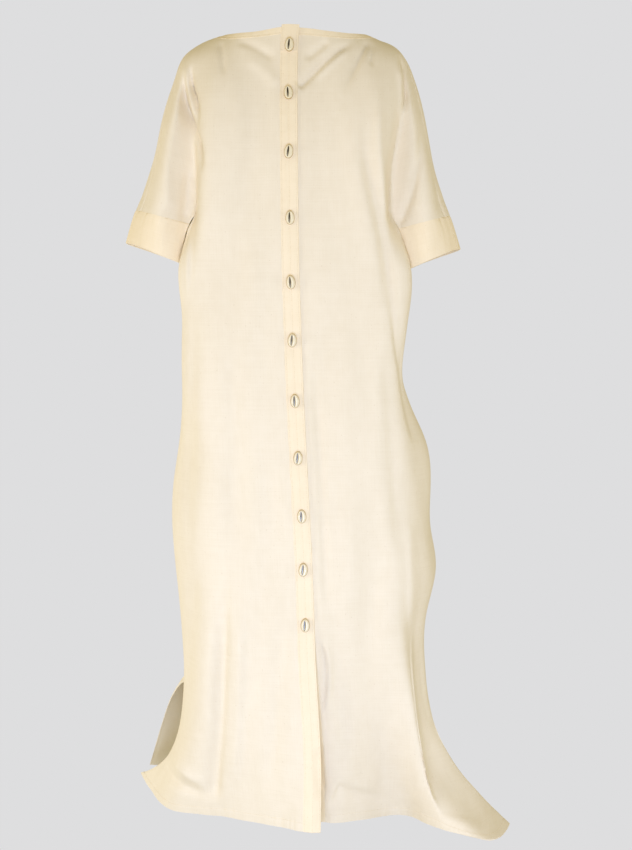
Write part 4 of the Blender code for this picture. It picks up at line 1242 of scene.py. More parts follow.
@dataclass(frozen=True)
class CowrieFinish:
    """Ring-topped cowrie shell: polished cream, a tan outline, and the slit between the teeth painted dark
    brown as shade.
    """

    name: str = "polished_cowrie_shell"
    cream: str = "F4EDD8"
    tan: str = "B0904E"
    # Painted shade: the dark brown put inside the slit, where little light reaches.
    painted_slit_shade: str = "3A2A14"
    tooth: str = "E9DDBB"
    mottle: str = "E6D9B6"
    roughness: float = 0.24

    def make(self) -> Material:
        """Builds the material from the zones that the shells' meshes carry."""
        material, tree = empty_material(self.name)
        rim, dark, tooth = (
            add_node(tree, "ShaderNodeAttribute", attribute_name=zone).outputs["Fac"]
            for zone in CowrieButtons.ZONES
        )
        place = add_node(tree, "ShaderNodeTexCoord").outputs["Object"]
        growth = add_node(
            tree, "ShaderNodeTexNoise", {"Vector": place, "Scale": 320.0, "Detail": 2.0}
        ).outputs[0]
        # The glaze is mottled where it thickened as the shell grew.
        mottled = blend(tree, growth, self.cream, self.mottle)
        # A tan outline runs round the base of the dome, where the shell turns under.
        ringed = blend(tree, rim, mottled, self.tan)
        toothed = blend(tree, tooth, ringed, self.tooth)
        # Painted shade: little light reaches the inside of the slit, so it is painted dark brown where it
        # can be seen.
        painted_slit_shade = blend(tree, dark, toothed, self.painted_slit_shade)
        # The shell's glaze, an index near 1.53, takes small sharp highlights.
        surface(tree, {
            "Base Color": painted_slit_shade, "Roughness": self.roughness, "IOR": 1.53, "Coat Weight": 0.35,
            "Coat Roughness": 0.12, "Normal": bump(tree, 0.15, 0.1 * MM, growth),
        })
        return material


@dataclass(frozen=True)
class ThreadFinish:
    """Two-ply cotton sewing thread, a shade darker than the cloth it lies in."""

    name: str = "cotton_sewing_thread"
    colour: str = "EADDC2"
    shadow: str = "D9C9A6"
    ply: float = 0.7 * MM

    def make(self) -> Material:
        """Builds the thread's twist as fine slanting bands."""
        material, tree = empty_material(self.name)
        place = add_node(tree, "ShaderNodeTexCoord").outputs["Object"]
        # The two plies wind round each other and catch the light in turn.
        twist = add_node(
            tree, "ShaderNodeTexWave",
            {"Vector": place, "Scale": 1 / (self.ply * 20), "Distortion": 1.5},
            bands_direction="DIAGONAL",
        ).outputs[1]
        surface(tree, {
            "Base Color": blend(tree, twist, self.colour, self.shadow), "Roughness": 0.75, "IOR": 1.54,
            "Normal": bump(tree, 0.3, 0.1 * MM, twist),
        })
        return material


@dataclass(frozen=True)
class Finishes:
    """Every finish of the robe, made once."""

    calico: Material
    doubled: Material
    shell: Material
    thread: Material

    @classmethod
    def make(cls) -> "Finishes":
        """Builds the four materials."""
        single = CalicoFinish("unbleached_calico_single", "F0E7D5", "DCCFB4", slub=0.24)
        doubled = CalicoFinish("unbleached_calico_doubled", "F7EAD1", "E6D5B1", slub=0.22)
        return cls(single.make(), doubled.make(), CowrieFinish().make(), ThreadFinish().make())


def cloth_detail(sheet: Sheet) -> tuple[Array, Array]:
    """The seams' grooves, and the turned hem with its stitch line and puckers.

    Args:
        sheet: The sheet.

    Returns:
        How far each point is raised, and how much thicker the cloth is there.
    """
    sewn = sheet.measures["to_seam"]
    raised = -0.9 * MM * bell(sewn, 1.8 * MM) + 0.35 * MM * bell(sewn - 5 * MM, 4 * MM)
    up = sheet.measures["to_hem"]
    along = sheet.measures["along_hem"]
    turned = smooth_step((HEM_TURN - up) / (1.6 * MM))
    raised += 0.30 * MM * turned
    raised -= 0.45 * MM * bell(up - (HEM_TURN - 1.5 * MM), 1.4 * MM)
    # The stitches draw the hem in unevenly, so that it puckers.
    pucker = Ripple(3, 7 * MM, 26 * MM).at(along) * (0.55 + 0.45 * Ripple(5, 0.07, 0.30).at(along))
    raised += 0.55 * MM * pucker * bell(up - HEM_TURN * 0.55, 13 * MM)
    scallop = Ripple(8, 45 * MM, 120 * MM).at(along)
    raised += 0.9 * MM * scallop * smooth_step(1 - up / 0.10)
    return raised, 0.8 * MM * turned


@dataclass(frozen=True)
class Button:
    """Where one cowrie is sewn: down the placket, how it leans, and how far off the middle."""

    drop: float
    lean: float
    aside: float


BUTTONS = (
    Button(0.034, -4, 0.8 * MM),
    Button(0.120, 5, 0.0),
    Button(0.223, -5, 0.0),
    Button(0.338, 2, 1.0 * MM),
    Button(0.451, 6, 0.0),
    Button(0.553, -3, -1.0 * MM),
    Button(0.660, 4, -0.5 * MM),
    Button(0.761, -2, 0.0),
    Button(0.864, 3, 1.0 * MM),
    Button(0.959, -4, -1.0 * MM),
    Button(1.058, 0, -1.0 * MM),
)


@dataclass
class StitchPath:
    """One line of topstitching: its points and the outward normals there."""

    points: Array
    normals: Array


def trace(
    sheet: Sheet, patch: int, rows: float | Array, columns: float | Array
) -> StitchPath:
    """A path over a patch's outer skin at fractional rows and columns.

    Args:
        sheet: The sheet.
        patch: Which of its patches.
        rows: Row numbers along the path, or one for all of it.
        columns: Column numbers along the path, or one for all of it.

    Returns:
        The path.
    """
    points, normals = sheet.net(patch)
    rows, columns = np.broadcast_arrays(rows, columns)
    high_row, high_column = points.shape[0] - 1, points.shape[1] - 1
    r = np.clip(np.floor(rows).astype(int), 0, high_row - 1)
    c = np.clip(np.floor(columns).astype(int), 0, high_column - 1)
    dr = (rows - r)[:, None]
    dc = (columns - c)[:, None]

    def read(field_of: Array) -> Array:
        """The field between its four grid points."""
        top = field_of[r, c] * (1 - dc) + field_of[r, c + 1] * dc
        low = field_of[r + 1, c] * (1 - dc) + field_of[r + 1, c + 1] * dc
        return top * (1 - dr) + low * dr

    return StitchPath(read(points), read(normals))


def up_from_hem(sheet: Sheet, patch: int, height: float) -> StitchPath:
    """A path at a height above a patch's last row."""
    shape = sheet.patches[patch].shape
    above = sheet.patches[patch].to_hem.reshape(shape)
    columns = np.arange(shape[1], dtype=float)
    rows = np.array([np.interp(-height, -above[:, k], np.arange(shape[0])) for k in range(shape[1])])
    return trace(sheet, patch, rows, columns)


@dataclass
class FrontPanel:
    """A front panel: its share of the yoke, of the body and of one sleeve, cut in one."""

    form: WornForm
    relief: ClothRelief
    panel: Panel
    spacing: float
    row_spacing: float

    # The body swells out in front of the cuff's inner end: where, how wide, how far.
    SWELL_DROPS = (0.326, 0.53)
    SWELL_RING = 3.25
    SWELL_WIDTH = 0.6
    SWELL = 9 * MM

    def from_placket(self, stretch: Stretch, rows: Array, last: int) -> Array:
        """Ring places for each row, from the placket's edge to the last column."""
        sign = 1 if self.panel is Panel.RIGHT else -1
        whole = places(stretch.region, 0, last, self.spacing)
        near = whole[whole <= 1]
        far = whole[whole > 1]
        edge = sign * stretch.placket_edge(rows)[:, None]
        return np.concatenate([
            edge * (1 - near) + sign * near,
            np.repeat(sign * far[None], len(rows), axis=0),
        ], axis=1)

    def patches(self) -> list[Patch]:
        """The yoke's patch, the body's and the sleeve's."""
        flip = self.panel is Panel.LEFT
        yoke = Stretch(self.form, Region.YOKE)
        body = Stretch(self.form, Region.BODY, panel=self.panel)
        sleeve = Stretch(self.form, Region.SLEEVE, side=Side.LEFT if flip else Side.RIGHT)
        rows = drops(BAND_DROP, SPLIT_DROP, self.row_spacing)
        u, v = grid(self.from_placket(yoke, rows, RIGHT_SEAM), rows)
        top = Patch(yoke, u % YOKE_SPANS, v, 0.0, flip=flip, seams=(-1,))
        rows = rows_to_hem(self.row_spacing)
        u, v = grid(self.from_placket(body, rows, RIGHT_SIDE), rows)
        low = Patch(
            body, u % BODY_SPANS, v, SPLIT_DROP, flip=flip, start=top.corner(-1, 0), seams=(-1,), hem=True
        )
        rows = drops(SPLIT_DROP, CUFF_SEAM_DROP, self.row_spacing / 2)
        first = SLEEVE_MIDDLE - SLEEVE_SPANS
        u, v = grid(places(Region.SLEEVE, first, SLEEVE_SEAM, self.spacing), rows)
        arm = Patch(
            sleeve, u % SLEEVE_SPANS, v, SPLIT_DROP, flip=flip, seams=(-1,),
            zero=facets(Region.SLEEVE, first, 0, self.spacing),
            start=top.corner(-1, facets(Region.YOKE, 0, VALLEY, self.spacing)),
        )
        return [top, low, arm]

    def detail(self, sheet: Sheet) -> tuple[Array, Array]:
        """The shared detail, and what the placket, the cuff and the seam beside them do to it."""
        raised, thicker = cloth_detail(sheet)
        across = np.abs(sheet.measures["across"])
        # The hem's turn runs out flat into the placket.
        flat = 1 - bell(across, 9 * MM) * smooth_step(2 - sheet.measures["to_hem"] / HEM_TURN)
        raised, thicker = raised * flat, thicker * flat
        if self.panel is Panel.RIGHT:
            raised = raised + PLACKET_LIFT * bell(across, LIFT_REACH)
        # The placket's seam holds the cloth beside it a little back, more at some places.
        tug = 0.35 + 0.25 * Ripple(21, 0.05, 0.16).at(sheet.measures["down"])
        raised = raised - MM * tug * bell(across - 4 * MM, 5 * MM) * (self.panel is Panel.LEFT)
        ring = sheet.measures["ring"]
        drop = -sheet.points[:, 2]
        first, last = self.SWELL_DROPS
        under_arm = smooth_step((drop - first) / 0.035) * smooth_step((last - drop) / 0.11)
        swell = bell(ring - self.SWELL_RING, self.SWELL_WIDTH) * smooth_step((RIGHT_SIDE - ring) / 0.3)
        return raised + self.SWELL * swell * under_arm, thicker

    def build(self) -> Sheet:
        """The panel's sheet."""
        return Sheet(self.patches(), self.relief, CLOTH, detail=self.detail)


@dataclass
class BackPanel:
    """The back, cut in one with the backs of both sleeves."""

    form: WornForm
    relief: ClothRelief
    spacing: float
    row_spacing: float

    def sleeve_back(self, side: Side, top: Patch) -> Patch:
        """The patch on the back of one sleeve, down from the yoke's."""
        rows = drops(SPLIT_DROP, CUFF_SEAM_DROP, self.row_spacing / 2)
        ring = places(Region.SLEEVE, SLEEVE_SEAM, SLEEVE_MIDDLE, self.spacing)
        valley = BACK_VALLEY if side is Side.RIGHT else LEFT_BACK_VALLEY
        return Patch(
            Stretch(self.form, Region.SLEEVE, side=side), *grid(ring, rows), SPLIT_DROP,
            flip=side is Side.LEFT, seams=(0,),
            zero=facets(Region.SLEEVE, SLEEVE_SEAM, SLEEVE_BACK, self.spacing),
            start=top.corner(-1, facets(Region.YOKE, RIGHT_SEAM, valley, self.spacing)),
        )

    def build(self) -> Sheet:
        """The panel's sheet."""
        rows = drops(BAND_DROP, SPLIT_DROP, self.row_spacing)
        ring = places(Region.YOKE, RIGHT_SEAM, LEFT_SEAM, self.spacing)
        middle = facets(Region.YOKE, RIGHT_SEAM, BACK_CENTRE, self.spacing)
        seams = (0, -1)
        top = Patch(Stretch(self.form, Region.YOKE), *grid(ring, rows), 0.0, zero=middle, seams=seams)
        ring = places(Region.BODY, RIGHT_SIDE, LEFT_SIDE, self.spacing)
        low = Patch(
            Stretch(self.form, Region.BODY, panel=Panel.BACK), *grid(ring, rows_to_hem(self.row_spacing)),
            SPLIT_DROP, zero=facets(Region.BODY, RIGHT_SIDE, BODY_SPANS // 2, self.spacing),
            start=top.corner(-1, middle), seams=seams, hem=True,
        )
        sleeves = [self.sleeve_back(side, top) for side in Side]
        return Sheet([top, low, *sleeves], self.relief, CLOTH, detail=cloth_detail)


@dataclass
class Cuff:
    """A sleeve's turned-up cuff of doubled cloth."""

    form: WornForm
    relief: ClothRelief
    side: Side
    spacing: float

    def detail(self, sheet: Sheet) -> tuple[Array, Array]:
        """A soft fold at the foot, a seam's groove at the top, and slight upright ripples."""
        down = sheet.measures["down"]
        across = sheet.measures["across"]
        foot = down.max()
        raised = -0.35 * MM * bell(down, 3.0 * MM)
        raised -= 0.35 * MM * bell(down - (foot - 4 * MM), 1.6 * MM)
        ripple = Ripple(31 + self.side.value, 9 * MM, 34 * MM).at(across)
        raised += 0.30 * MM * ripple * (0.4 + 0.6 * bell(down, 22 * MM))
        return raised, np.zeros(len(down))

    def build(self) -> Sheet:
        """The cuff's sheet: a tube with open ends."""
        stretch = Stretch(self.form, Region.SLEEVE, side=self.side)
        ring = places(Region.SLEEVE, 0, SLEEVE_SPANS, self.spacing)
        rows = drops(CUFF_SEAM_DROP, CUFF_HEM_DROP, self.spacing)
        patch = Patch(stretch, *grid(ring, rows), SPLIT_DROP, flip=self.side is Side.LEFT)
        return Sheet([patch], self.relief, DOUBLE_CLOTH, detail=self.detail)


@dataclass
class Neckband:
    """One stretch of the neckband: a front one up to the placket's edge, or the back one."""

    form: WornForm
    relief: ClothRelief
    panel: Panel
    spacing: float

    def detail(self, sheet: Sheet) -> tuple[Array, Array]:
        """A stitched lower edge, small puckers, and the rise to the placket on the right."""
        down = sheet.measures["down"]
        across = sheet.measures["across"]
        raised = -0.35 * MM * bell(down - 10 * MM, 1.3 * MM)
        raised += 0.22 * MM * Ripple(41, 7 * MM, 24 * MM).at(across) * bell(down - 10 * MM, 6 * MM)
        if self.panel is Panel.RIGHT:
            raised += PLACKET_LIFT * bell(across, LIFT_REACH)
        return raised, np.zeros(len(down))

    def build(self) -> Sheet:
        """The band's sheet."""
        stretch = Stretch(self.form, Region.YOKE)
        rows = drops(0.0, BAND_DROP, 1.7 * MM)
        if self.panel is Panel.BACK:
            columns = places(Region.YOKE, RIGHT_SEAM, LEFT_SEAM, self.spacing)
        else:
            front = FrontPanel(self.form, self.relief, self.panel, self.spacing, self.spacing)
            columns = front.from_placket(stretch, rows, RIGHT_SEAM)
        u, v = grid(columns, rows)
        patch = Patch(stretch, u % YOKE_SPANS, v, 0.0, flip=self.panel is Panel.LEFT)
        return Sheet([patch], self.relief, DOUBLE_CLOTH, detail=self.detail)


class Layer(Enum):
    """A layer of the placket, with how far out it lies and its thickness."""

    UNDER = ("placket_under", 0.0, DOUBLE_CLOTH)
    TOP = ("placket_top", PLACKET_LIFT, DOUBLE_CLOTH)
    HEAD = ("placket_head", HEAD_LIFT, CLOTH)


@dataclass
class PlacketLayer:
    """One layer of the placket down the front."""

    form: WornForm
    relief: ClothRelief
    layer: Layer
    spacing: float
    row_spacing: float

    EDGE_STITCH = 2.6 * MM

    def detail(self, sheet: Sheet) -> tuple[Array, Array]:
        """Thick folded edges, a stitch line in each, a pressed crease and the buttons' dimples."""
        across = sheet.measures["across"]
        down = sheet.measures["down"]
        flat = np.zeros(len(down))
        if self.layer is Layer.UNDER:
            return -0.2 * MM * bell(across, 2 * MM), flat
        edge = PLACKET_WIDTH / 2 - np.abs(across)
        raised = 0.25 * MM * smooth_step((4.5 * MM - edge) / (2 * MM))
        raised -= 0.45 * MM * bell(edge - self.EDGE_STITCH, 1.0 * MM)
        if self.layer is Layer.HEAD:
            foot = down.max() - down
            raised -= 0.35 * MM * bell(foot - self.EDGE_STITCH, 1.0 * MM)
            return raised, flat
        raised -= 0.40 * MM * bell(across - 0.6 * MM, 1.1 * MM)
        pucker = Ripple(51, 7 * MM, 20 * MM).at(down)
        raised += 0.22 * MM * pucker * bell(edge - self.EDGE_STITCH, 5 * MM)
        raised += 0.30 * MM * Ripple(52, 0.03, 0.09).at(down)
        drop = -sheet.points[:, 2]
        for button in BUTTONS:
            away = np.hypot(across + button.aside, (drop - button.drop) * 0.8)
            raised -= 0.7 * MM * bell(away, 12 * MM)
        return raised, flat

    def build(self) -> Sheet:
        """The layer's sheet. Below the underarm it follows the body of its own panel."""
        name = Panel.LEFT if self.layer is Layer.UNDER else Panel.RIGHT
        count = 2 * math.ceil(PLACKET_WIDTH / 2 / self.spacing)
        across = np.linspace(1.0, -1.0, count + 1)
        yoke = Stretch(self.form, Region.YOKE)
        first = -HEAD_OVERHANG if self.layer is Layer.HEAD else 0.0
        last = HEAD_DROP if self.layer is Layer.HEAD else SPLIT_DROP
        rows = drops(first, last, self.row_spacing)
        u, v = grid(yoke.placket_edge(rows)[:, None] * across, rows)
        patches = [Patch(yoke, u, v, first, flip=True, zero=count // 2)]
        if self.layer is not Layer.HEAD:
            body = Stretch(self.form, Region.BODY, panel=name)
            rows = drops(SPLIT_DROP, HEM_DROP, self.row_spacing)
            u, v = grid(body.placket_edge(rows)[:, None] * across, rows)
            start = patches[0].corner(-1, count // 2)
            patches.append(Patch(body, u, v, SPLIT_DROP, flip=True, zero=count // 2, start=start))
        _, offset, thickness = self.layer.value
        return Sheet(patches, self.relief, thickness, offset, detail=self.detail)


@dataclass
class CowrieButtons:
    """Eleven cowries sewn down the placket, each turned by its own lean."""

    form: WornForm
    sides: int = 112

    WIDTH = 17.6 * MM
    LENGTH = 24.6 * MM
    HEIGHT = 7.5 * MM
    NARROWING = 0.14
    THREAD_SHANK = 0.9 * MM
    TEETH = 11
    # The shell's colour zones: the tan outline, the painted shade inside the slit, and the pale teeth.
    ZONES = ("rim", "dark", "tooth")
    # Rings from the flat back to the bottom of the slit: width, length, height, aside, bend.
    RINGS = (
        (0.90, 0.92, 0.00, 0.00, 0.00),
        (0.97, 0.975, 0.10, 0.00, 0.00),
        (1.00, 1.00, 0.30, 0.00, 0.00),
        (0.97, 0.98, 0.52, 0.00, 0.00),
        (0.88, 0.91, 0.76, 0.00, 0.00),
        (0.70, 0.84, 0.93, -0.01, 0.01),
        (0.45, 0.80, 1.00, -0.03, 0.03),
        (0.26, 0.78, 0.97, -0.07, 0.05),
        (0.17, 0.76, 0.88, -0.09, 0.06),
        (0.13, 0.74, 0.72, -0.10, 0.06),
        (0.10, 0.71, 0.50, -0.10, 0.06),
    )
    PER_RING = 2
    # Places among the rings: the tan outline, the lips of the slit, and where the slit's painted shade
    # begins.
    OUTLINE = 2.3
    LIPS = 7.4
    DARK = 7.2

    def shape(self, material: Material) -> Object:
        """One shell: an egg-shaped dome whose toothed slit lies left of its middle and bends.

        Args:
            material: Its finish.

        Returns:
            The shell at the origin, its flat back down, with its zones as attributes.
        """
        knots = np.array(self.RINGS)
        at = np.linspace(0, len(knots) - 1, (len(knots) - 1) * self.PER_RING + 1)
        rings = row_weights(np.arange(len(knots)), at) @ knots
        angle = 2 * math.pi * np.arange(self.sides) / self.sides
        y = np.cos(angle)
        points, zones = [], []
        for place, (width, length, height, aside, bend) in zip(at, rings):
            lip = bell(place - self.LIPS, 1.5)
            comb = np.cos(math.pi * self.TEETH * y * length / 0.67)
            comb *= smooth_step((0.92 - np.abs(y)) / 0.2)
            x = -width * np.sin(angle) * (1 - self.NARROWING * (1 + y) / 2) * (1 - 0.30 * lip * comb)
            x += aside - bend * (1.0 - y * length) ** 2 * 0.5 * (aside < 0)
            x += 0.06 * lip * (y < -0.6) * (-y - 0.6)
            z = height - 0.05 * lip * (1 - comb) / 2
            points.append(np.stack([
                self.WIDTH / 2 * x, self.LENGTH / 2 * y * length, self.HEIGHT * z,
            ], axis=1))
            # The slit's painted shade is weaker towards the shell's wider end.
            fading = 0.45 + 0.55 * smooth_step((y + 0.9) / 1.1)
            zones.append([
                np.full(self.sides, bell(place - self.OUTLINE, 1.6)),
                smooth_step(place - self.DARK) * fading,
                0.8 * bell(place - self.DARK, 0.8) * (comb + 1) / 2,
            ])
        faces = closed_tube(len(rings), self.sides)
        made = make_mesh("cowrie_shape", np.concatenate(points), faces, material)
        for name, parts in zip(self.ZONES, zip(*zones)):
            carry(made, name, "FLOAT", np.concatenate(parts))
        return made

    def seats(self) -> tuple[Array, Array]:
        """Where the shells sit on the placket, and their turns as quaternions."""
        origins, turns = [], []
        for button in BUTTONS:
            region = Region.YOKE if button.drop < SPLIT_DROP else Region.BODY
            stretch = Stretch(self.form, region, panel=Panel.RIGHT)
            v = np.array([button.drop])
            u = -stretch.placket_edge(v) * button.aside / (PLACKET_WIDTH / 2)
            out = stretch.normals(u, v, 0.0)[0]
            normal = Vector(out)
            layers = PLACKET_LIFT + DOUBLE_CLOTH / 2 + self.THREAD_SHANK
            if button.drop < HEAD_DROP:
                layers += CLOTH + GAP
            up = Vector((0, 0, 1))
            up = (up - up.dot(normal) * normal).normalized()
            lean = Matrix.Rotation(math.radians(button.lean), 3, "Z")
            turn = Matrix((up.cross(normal), up, normal)).transposed() @ lean
            origins.append(stretch.points(u, v)[0] + out * layers)
            turns.append(tuple(turn.to_quaternion()))
        return np.array(origins), np.array(turns)

    def build(self, material: Material) -> Object:
        """All the shells as one plain mesh, copied onto their seats with Geometry Nodes."""
        origins, turns = self.seats()
        seats = points_object("cowrie_buttons", origins, [])
        carry(seats, "turn", "QUATERNION", turns)
        tree, given = copying_tree("copy_onto_seats", {})
        copy_onto(tree, given, given["Geometry"], carried(tree, "turn", "QUATERNION"))
        shell = self.shape(material)
        return as_plain_mesh(seats, tree, {"Shape": shell, "Finish": material}, shell)


def points_object(name: str, points: Array, edges: Sequence[Sequence[int]]) -> Object:
    """An object of loose points and the edges between them."""
    mesh = bpy.data.meshes.new(name)
    mesh.from_pydata(points.tolist(), edges, [])
    made = bpy.data.objects.new(name, mesh)
    bpy.context.scene.collection.objects.link(made)
    return made


def copying_tree(
    name: str, more: dict[str, str]
) -> tuple[NodeTree, bpy.types.bpy_prop_collection]:
    """A Geometry Nodes tree that copies a shape, and its group input's sockets.

    Args:
        name: The tree's name.
        more: Socket types of its named inputs, besides the shape and its finish.

    Returns:
        The tree and what it is given.
    """
    tree = bpy.data.node_groups.new(name, "GeometryNodeTree")
    tree.interface.new_socket("Geometry", in_out="OUTPUT", socket_type="NodeSocketGeometry")
    inputs = {
        "Geometry": "NodeSocketGeometry", "Shape": "NodeSocketObject", "Finish": "NodeSocketMaterial",
    }
    for label, kind in (inputs | more).items():
        tree.interface.new_socket(label, in_out="INPUT", socket_type=kind)
    return tree, add_node(tree, "NodeGroupInput").outputs


def carried(tree: NodeTree, name: str, kind: str) -> NodeSocket:
    """A value that the points carry."""
    return add_node(
        tree, "GeometryNodeInputNamedAttribute", {"Name": name}, data_type=kind
    ).outputs[0]


def copy_onto(
    tree: NodeTree,
    given: bpy.types.bpy_prop_collection,
    points: NodeSocket,
    turn: NodeSocket,
) -> None:
    """Puts a turned copy of the given shape on each point, as real geometry with its finish set."""
    shape = add_node(tree, "GeometryNodeObjectInfo", {"Object": given["Shape"]}).outputs["Geometry"]
    told = {"Points": points, "Instance": shape, "Rotation": turn}
    copies = add_node(tree, "GeometryNodeInstanceOnPoints", told).outputs[0]
    real = add_node(tree, "GeometryNodeRealizeInstances", {"Geometry": copies}).outputs[0]
    told = {"Geometry": real, "Material": given["Finish"]}
    dressed = add_node(tree, "GeometryNodeSetMaterial", told).outputs[0]
    add_node(tree, "NodeGroupOutput", {"Geometry": dressed})


def as_plain_mesh(
    made: Object,
    tree: NodeTree,
    values: dict[str, object],
    template: Object,
) -> Object:
    """Runs a tree on an object and keeps the result as the object's own mesh.

    Args:
        made: The object whose points the tree copies onto.
        tree: The tree.
        values: Values of the tree's named inputs.
        template: The shape that was copied, which is then removed.

    Returns:
        The object.
    """
    modifier = made.modifiers.new(tree.name, "NODES")
    modifier.node_group = tree
    for item in tree.interface.items_tree:
        if item.in_out == "INPUT" and item.name in values:
            modifier[item.identifier] = values[item.name]
    bpy.context.view_layer.update()
    graph = bpy.context.evaluated_depsgraph_get()
    plain = bpy.data.meshes.new_from_object(made.evaluated_get(graph), depsgraph=graph)
    made.modifiers.remove(modifier)
    made.data = plain
    bpy.data.objects.remove(template, do_unlink=True)
    return made


@dataclass
class Topstitching:
    """Every visible line of stitching on the robe, as separate stitches set into the cloth."""

    paths: list[StitchPath]
    stitch: float = 2.5 * MM
    gap: float = 0.8 * MM
    radius: float = 0.24 * MM
    sides: int = 6

    def shape(self, material: Material) -> Object:
        """One stitch: a short thread that bows up from the cloth and dips in at both ends."""
        along = np.linspace(-1.0, 1.0, 5)
        angle = 2 * math.pi * np.arange(self.sides) / self.sides
        rings = []
        for place in along:
            swell = math.sqrt(max(1 - 0.75 * place * place, 0.0))
            height = self.radius * (0.55 - 0.9 * place * place)
            rings.append(np.stack([
                np.full(self.sides, place * self.stitch / 2),
                self.radius * swell * np.cos(angle),
                height + self.radius * swell * np.sin(angle),
            ], axis=1))
        faces = closed_tube(len(along), self.sides, flip=True)
        return make_mesh("stitch_shape", np.concatenate(rings), faces, material)

    def build(self, material: Material) -> Object:
        """All the stitches as one plain mesh, laid along their lines with Geometry Nodes."""
        edges, start = [], 0
        for path in self.paths:
            edges += [(start + k, start + k + 1) for k in range(len(path.points) - 1)]
            start += len(path.points)
        lines = points_object("topstitching", np.concatenate([path.points for path in self.paths]), edges)
        carry(lines, "outward", "FLOAT_VECTOR", np.concatenate([path.normals for path in self.paths]))
        tree, given = copying_tree("lay_stitches", {"Pitch": "NodeSocketFloat"})
        curve = add_node(tree, "GeometryNodeMeshToCurve", {"Mesh": given["Geometry"]}).outputs[0]
        told = {"Curve": curve, "Length": given["Pitch"]}
        spaced = add_node(tree, "GeometryNodeResampleCurve", told, mode="LENGTH").outputs[0]
        ways = {
            0: carried(tree, "outward", "FLOAT_VECTOR"),
            1: add_node(tree, "GeometryNodeInputTangent").outputs[0],
        }
        turn = add_node(
            tree, "FunctionNodeAxesToRotation", ways, primary_axis="Z", secondary_axis="X"
        ).outputs[0]
        copy_onto(tree, given, spaced, turn)
        stitch = self.shape(material)
        values = {"Shape": stitch, "Pitch": self.stitch + self.gap, "Finish": material}
        return as_plain_mesh(lines, tree, values, stitch)


@dataclass(frozen=True)
class SheetFacts:
    """What a cloth piece stands for: its slot, its flat cut, its cut area and what it hangs from."""

    name: str
    slot: str
    width: float
    length: float
    area: float
    rests_on: tuple[str, ...]


UNBLEACHED = "unbleached_cotton"
DOUBLED = "doubled_cotton"
FACTS = (
    SheetFacts("front_right", UNBLEACHED, 0.52, 1.45, 0.435, ("neckband_right", "placket_top")),
    SheetFacts("front_left", UNBLEACHED, 0.54, 1.45, 0.447, ("neckband_left", "placket_under")),
    SheetFacts("back", UNBLEACHED, 0.95, 1.46, 0.965, ("neckband_back",)),
    SheetFacts("cuff_right", DOUBLED, 0.43, 0.07, 0.030, ("front_right", "back")),
    SheetFacts("cuff_left", DOUBLED, 0.43, 0.07, 0.030, ("front_left", "back")),
    SheetFacts("neckband_right", DOUBLED, 0.19, 0.014, 0.0025, ("front_right",)),
    SheetFacts("neckband_left", DOUBLED, 0.19, 0.014, 0.0025, ("front_left",)),
    SheetFacts("neckband_back", DOUBLED, 0.36, 0.014, 0.0050, ("back",)),
    SheetFacts("placket_under", DOUBLED, 0.030, 1.50, 0.0445, ("front_left",)),
    SheetFacts("placket_top", DOUBLED, 0.030, 1.50, 0.0445, ("front_right",)),
    SheetFacts("placket_head", DOUBLED, 0.030, 0.050, 0.0015, ("placket_top",)),
)


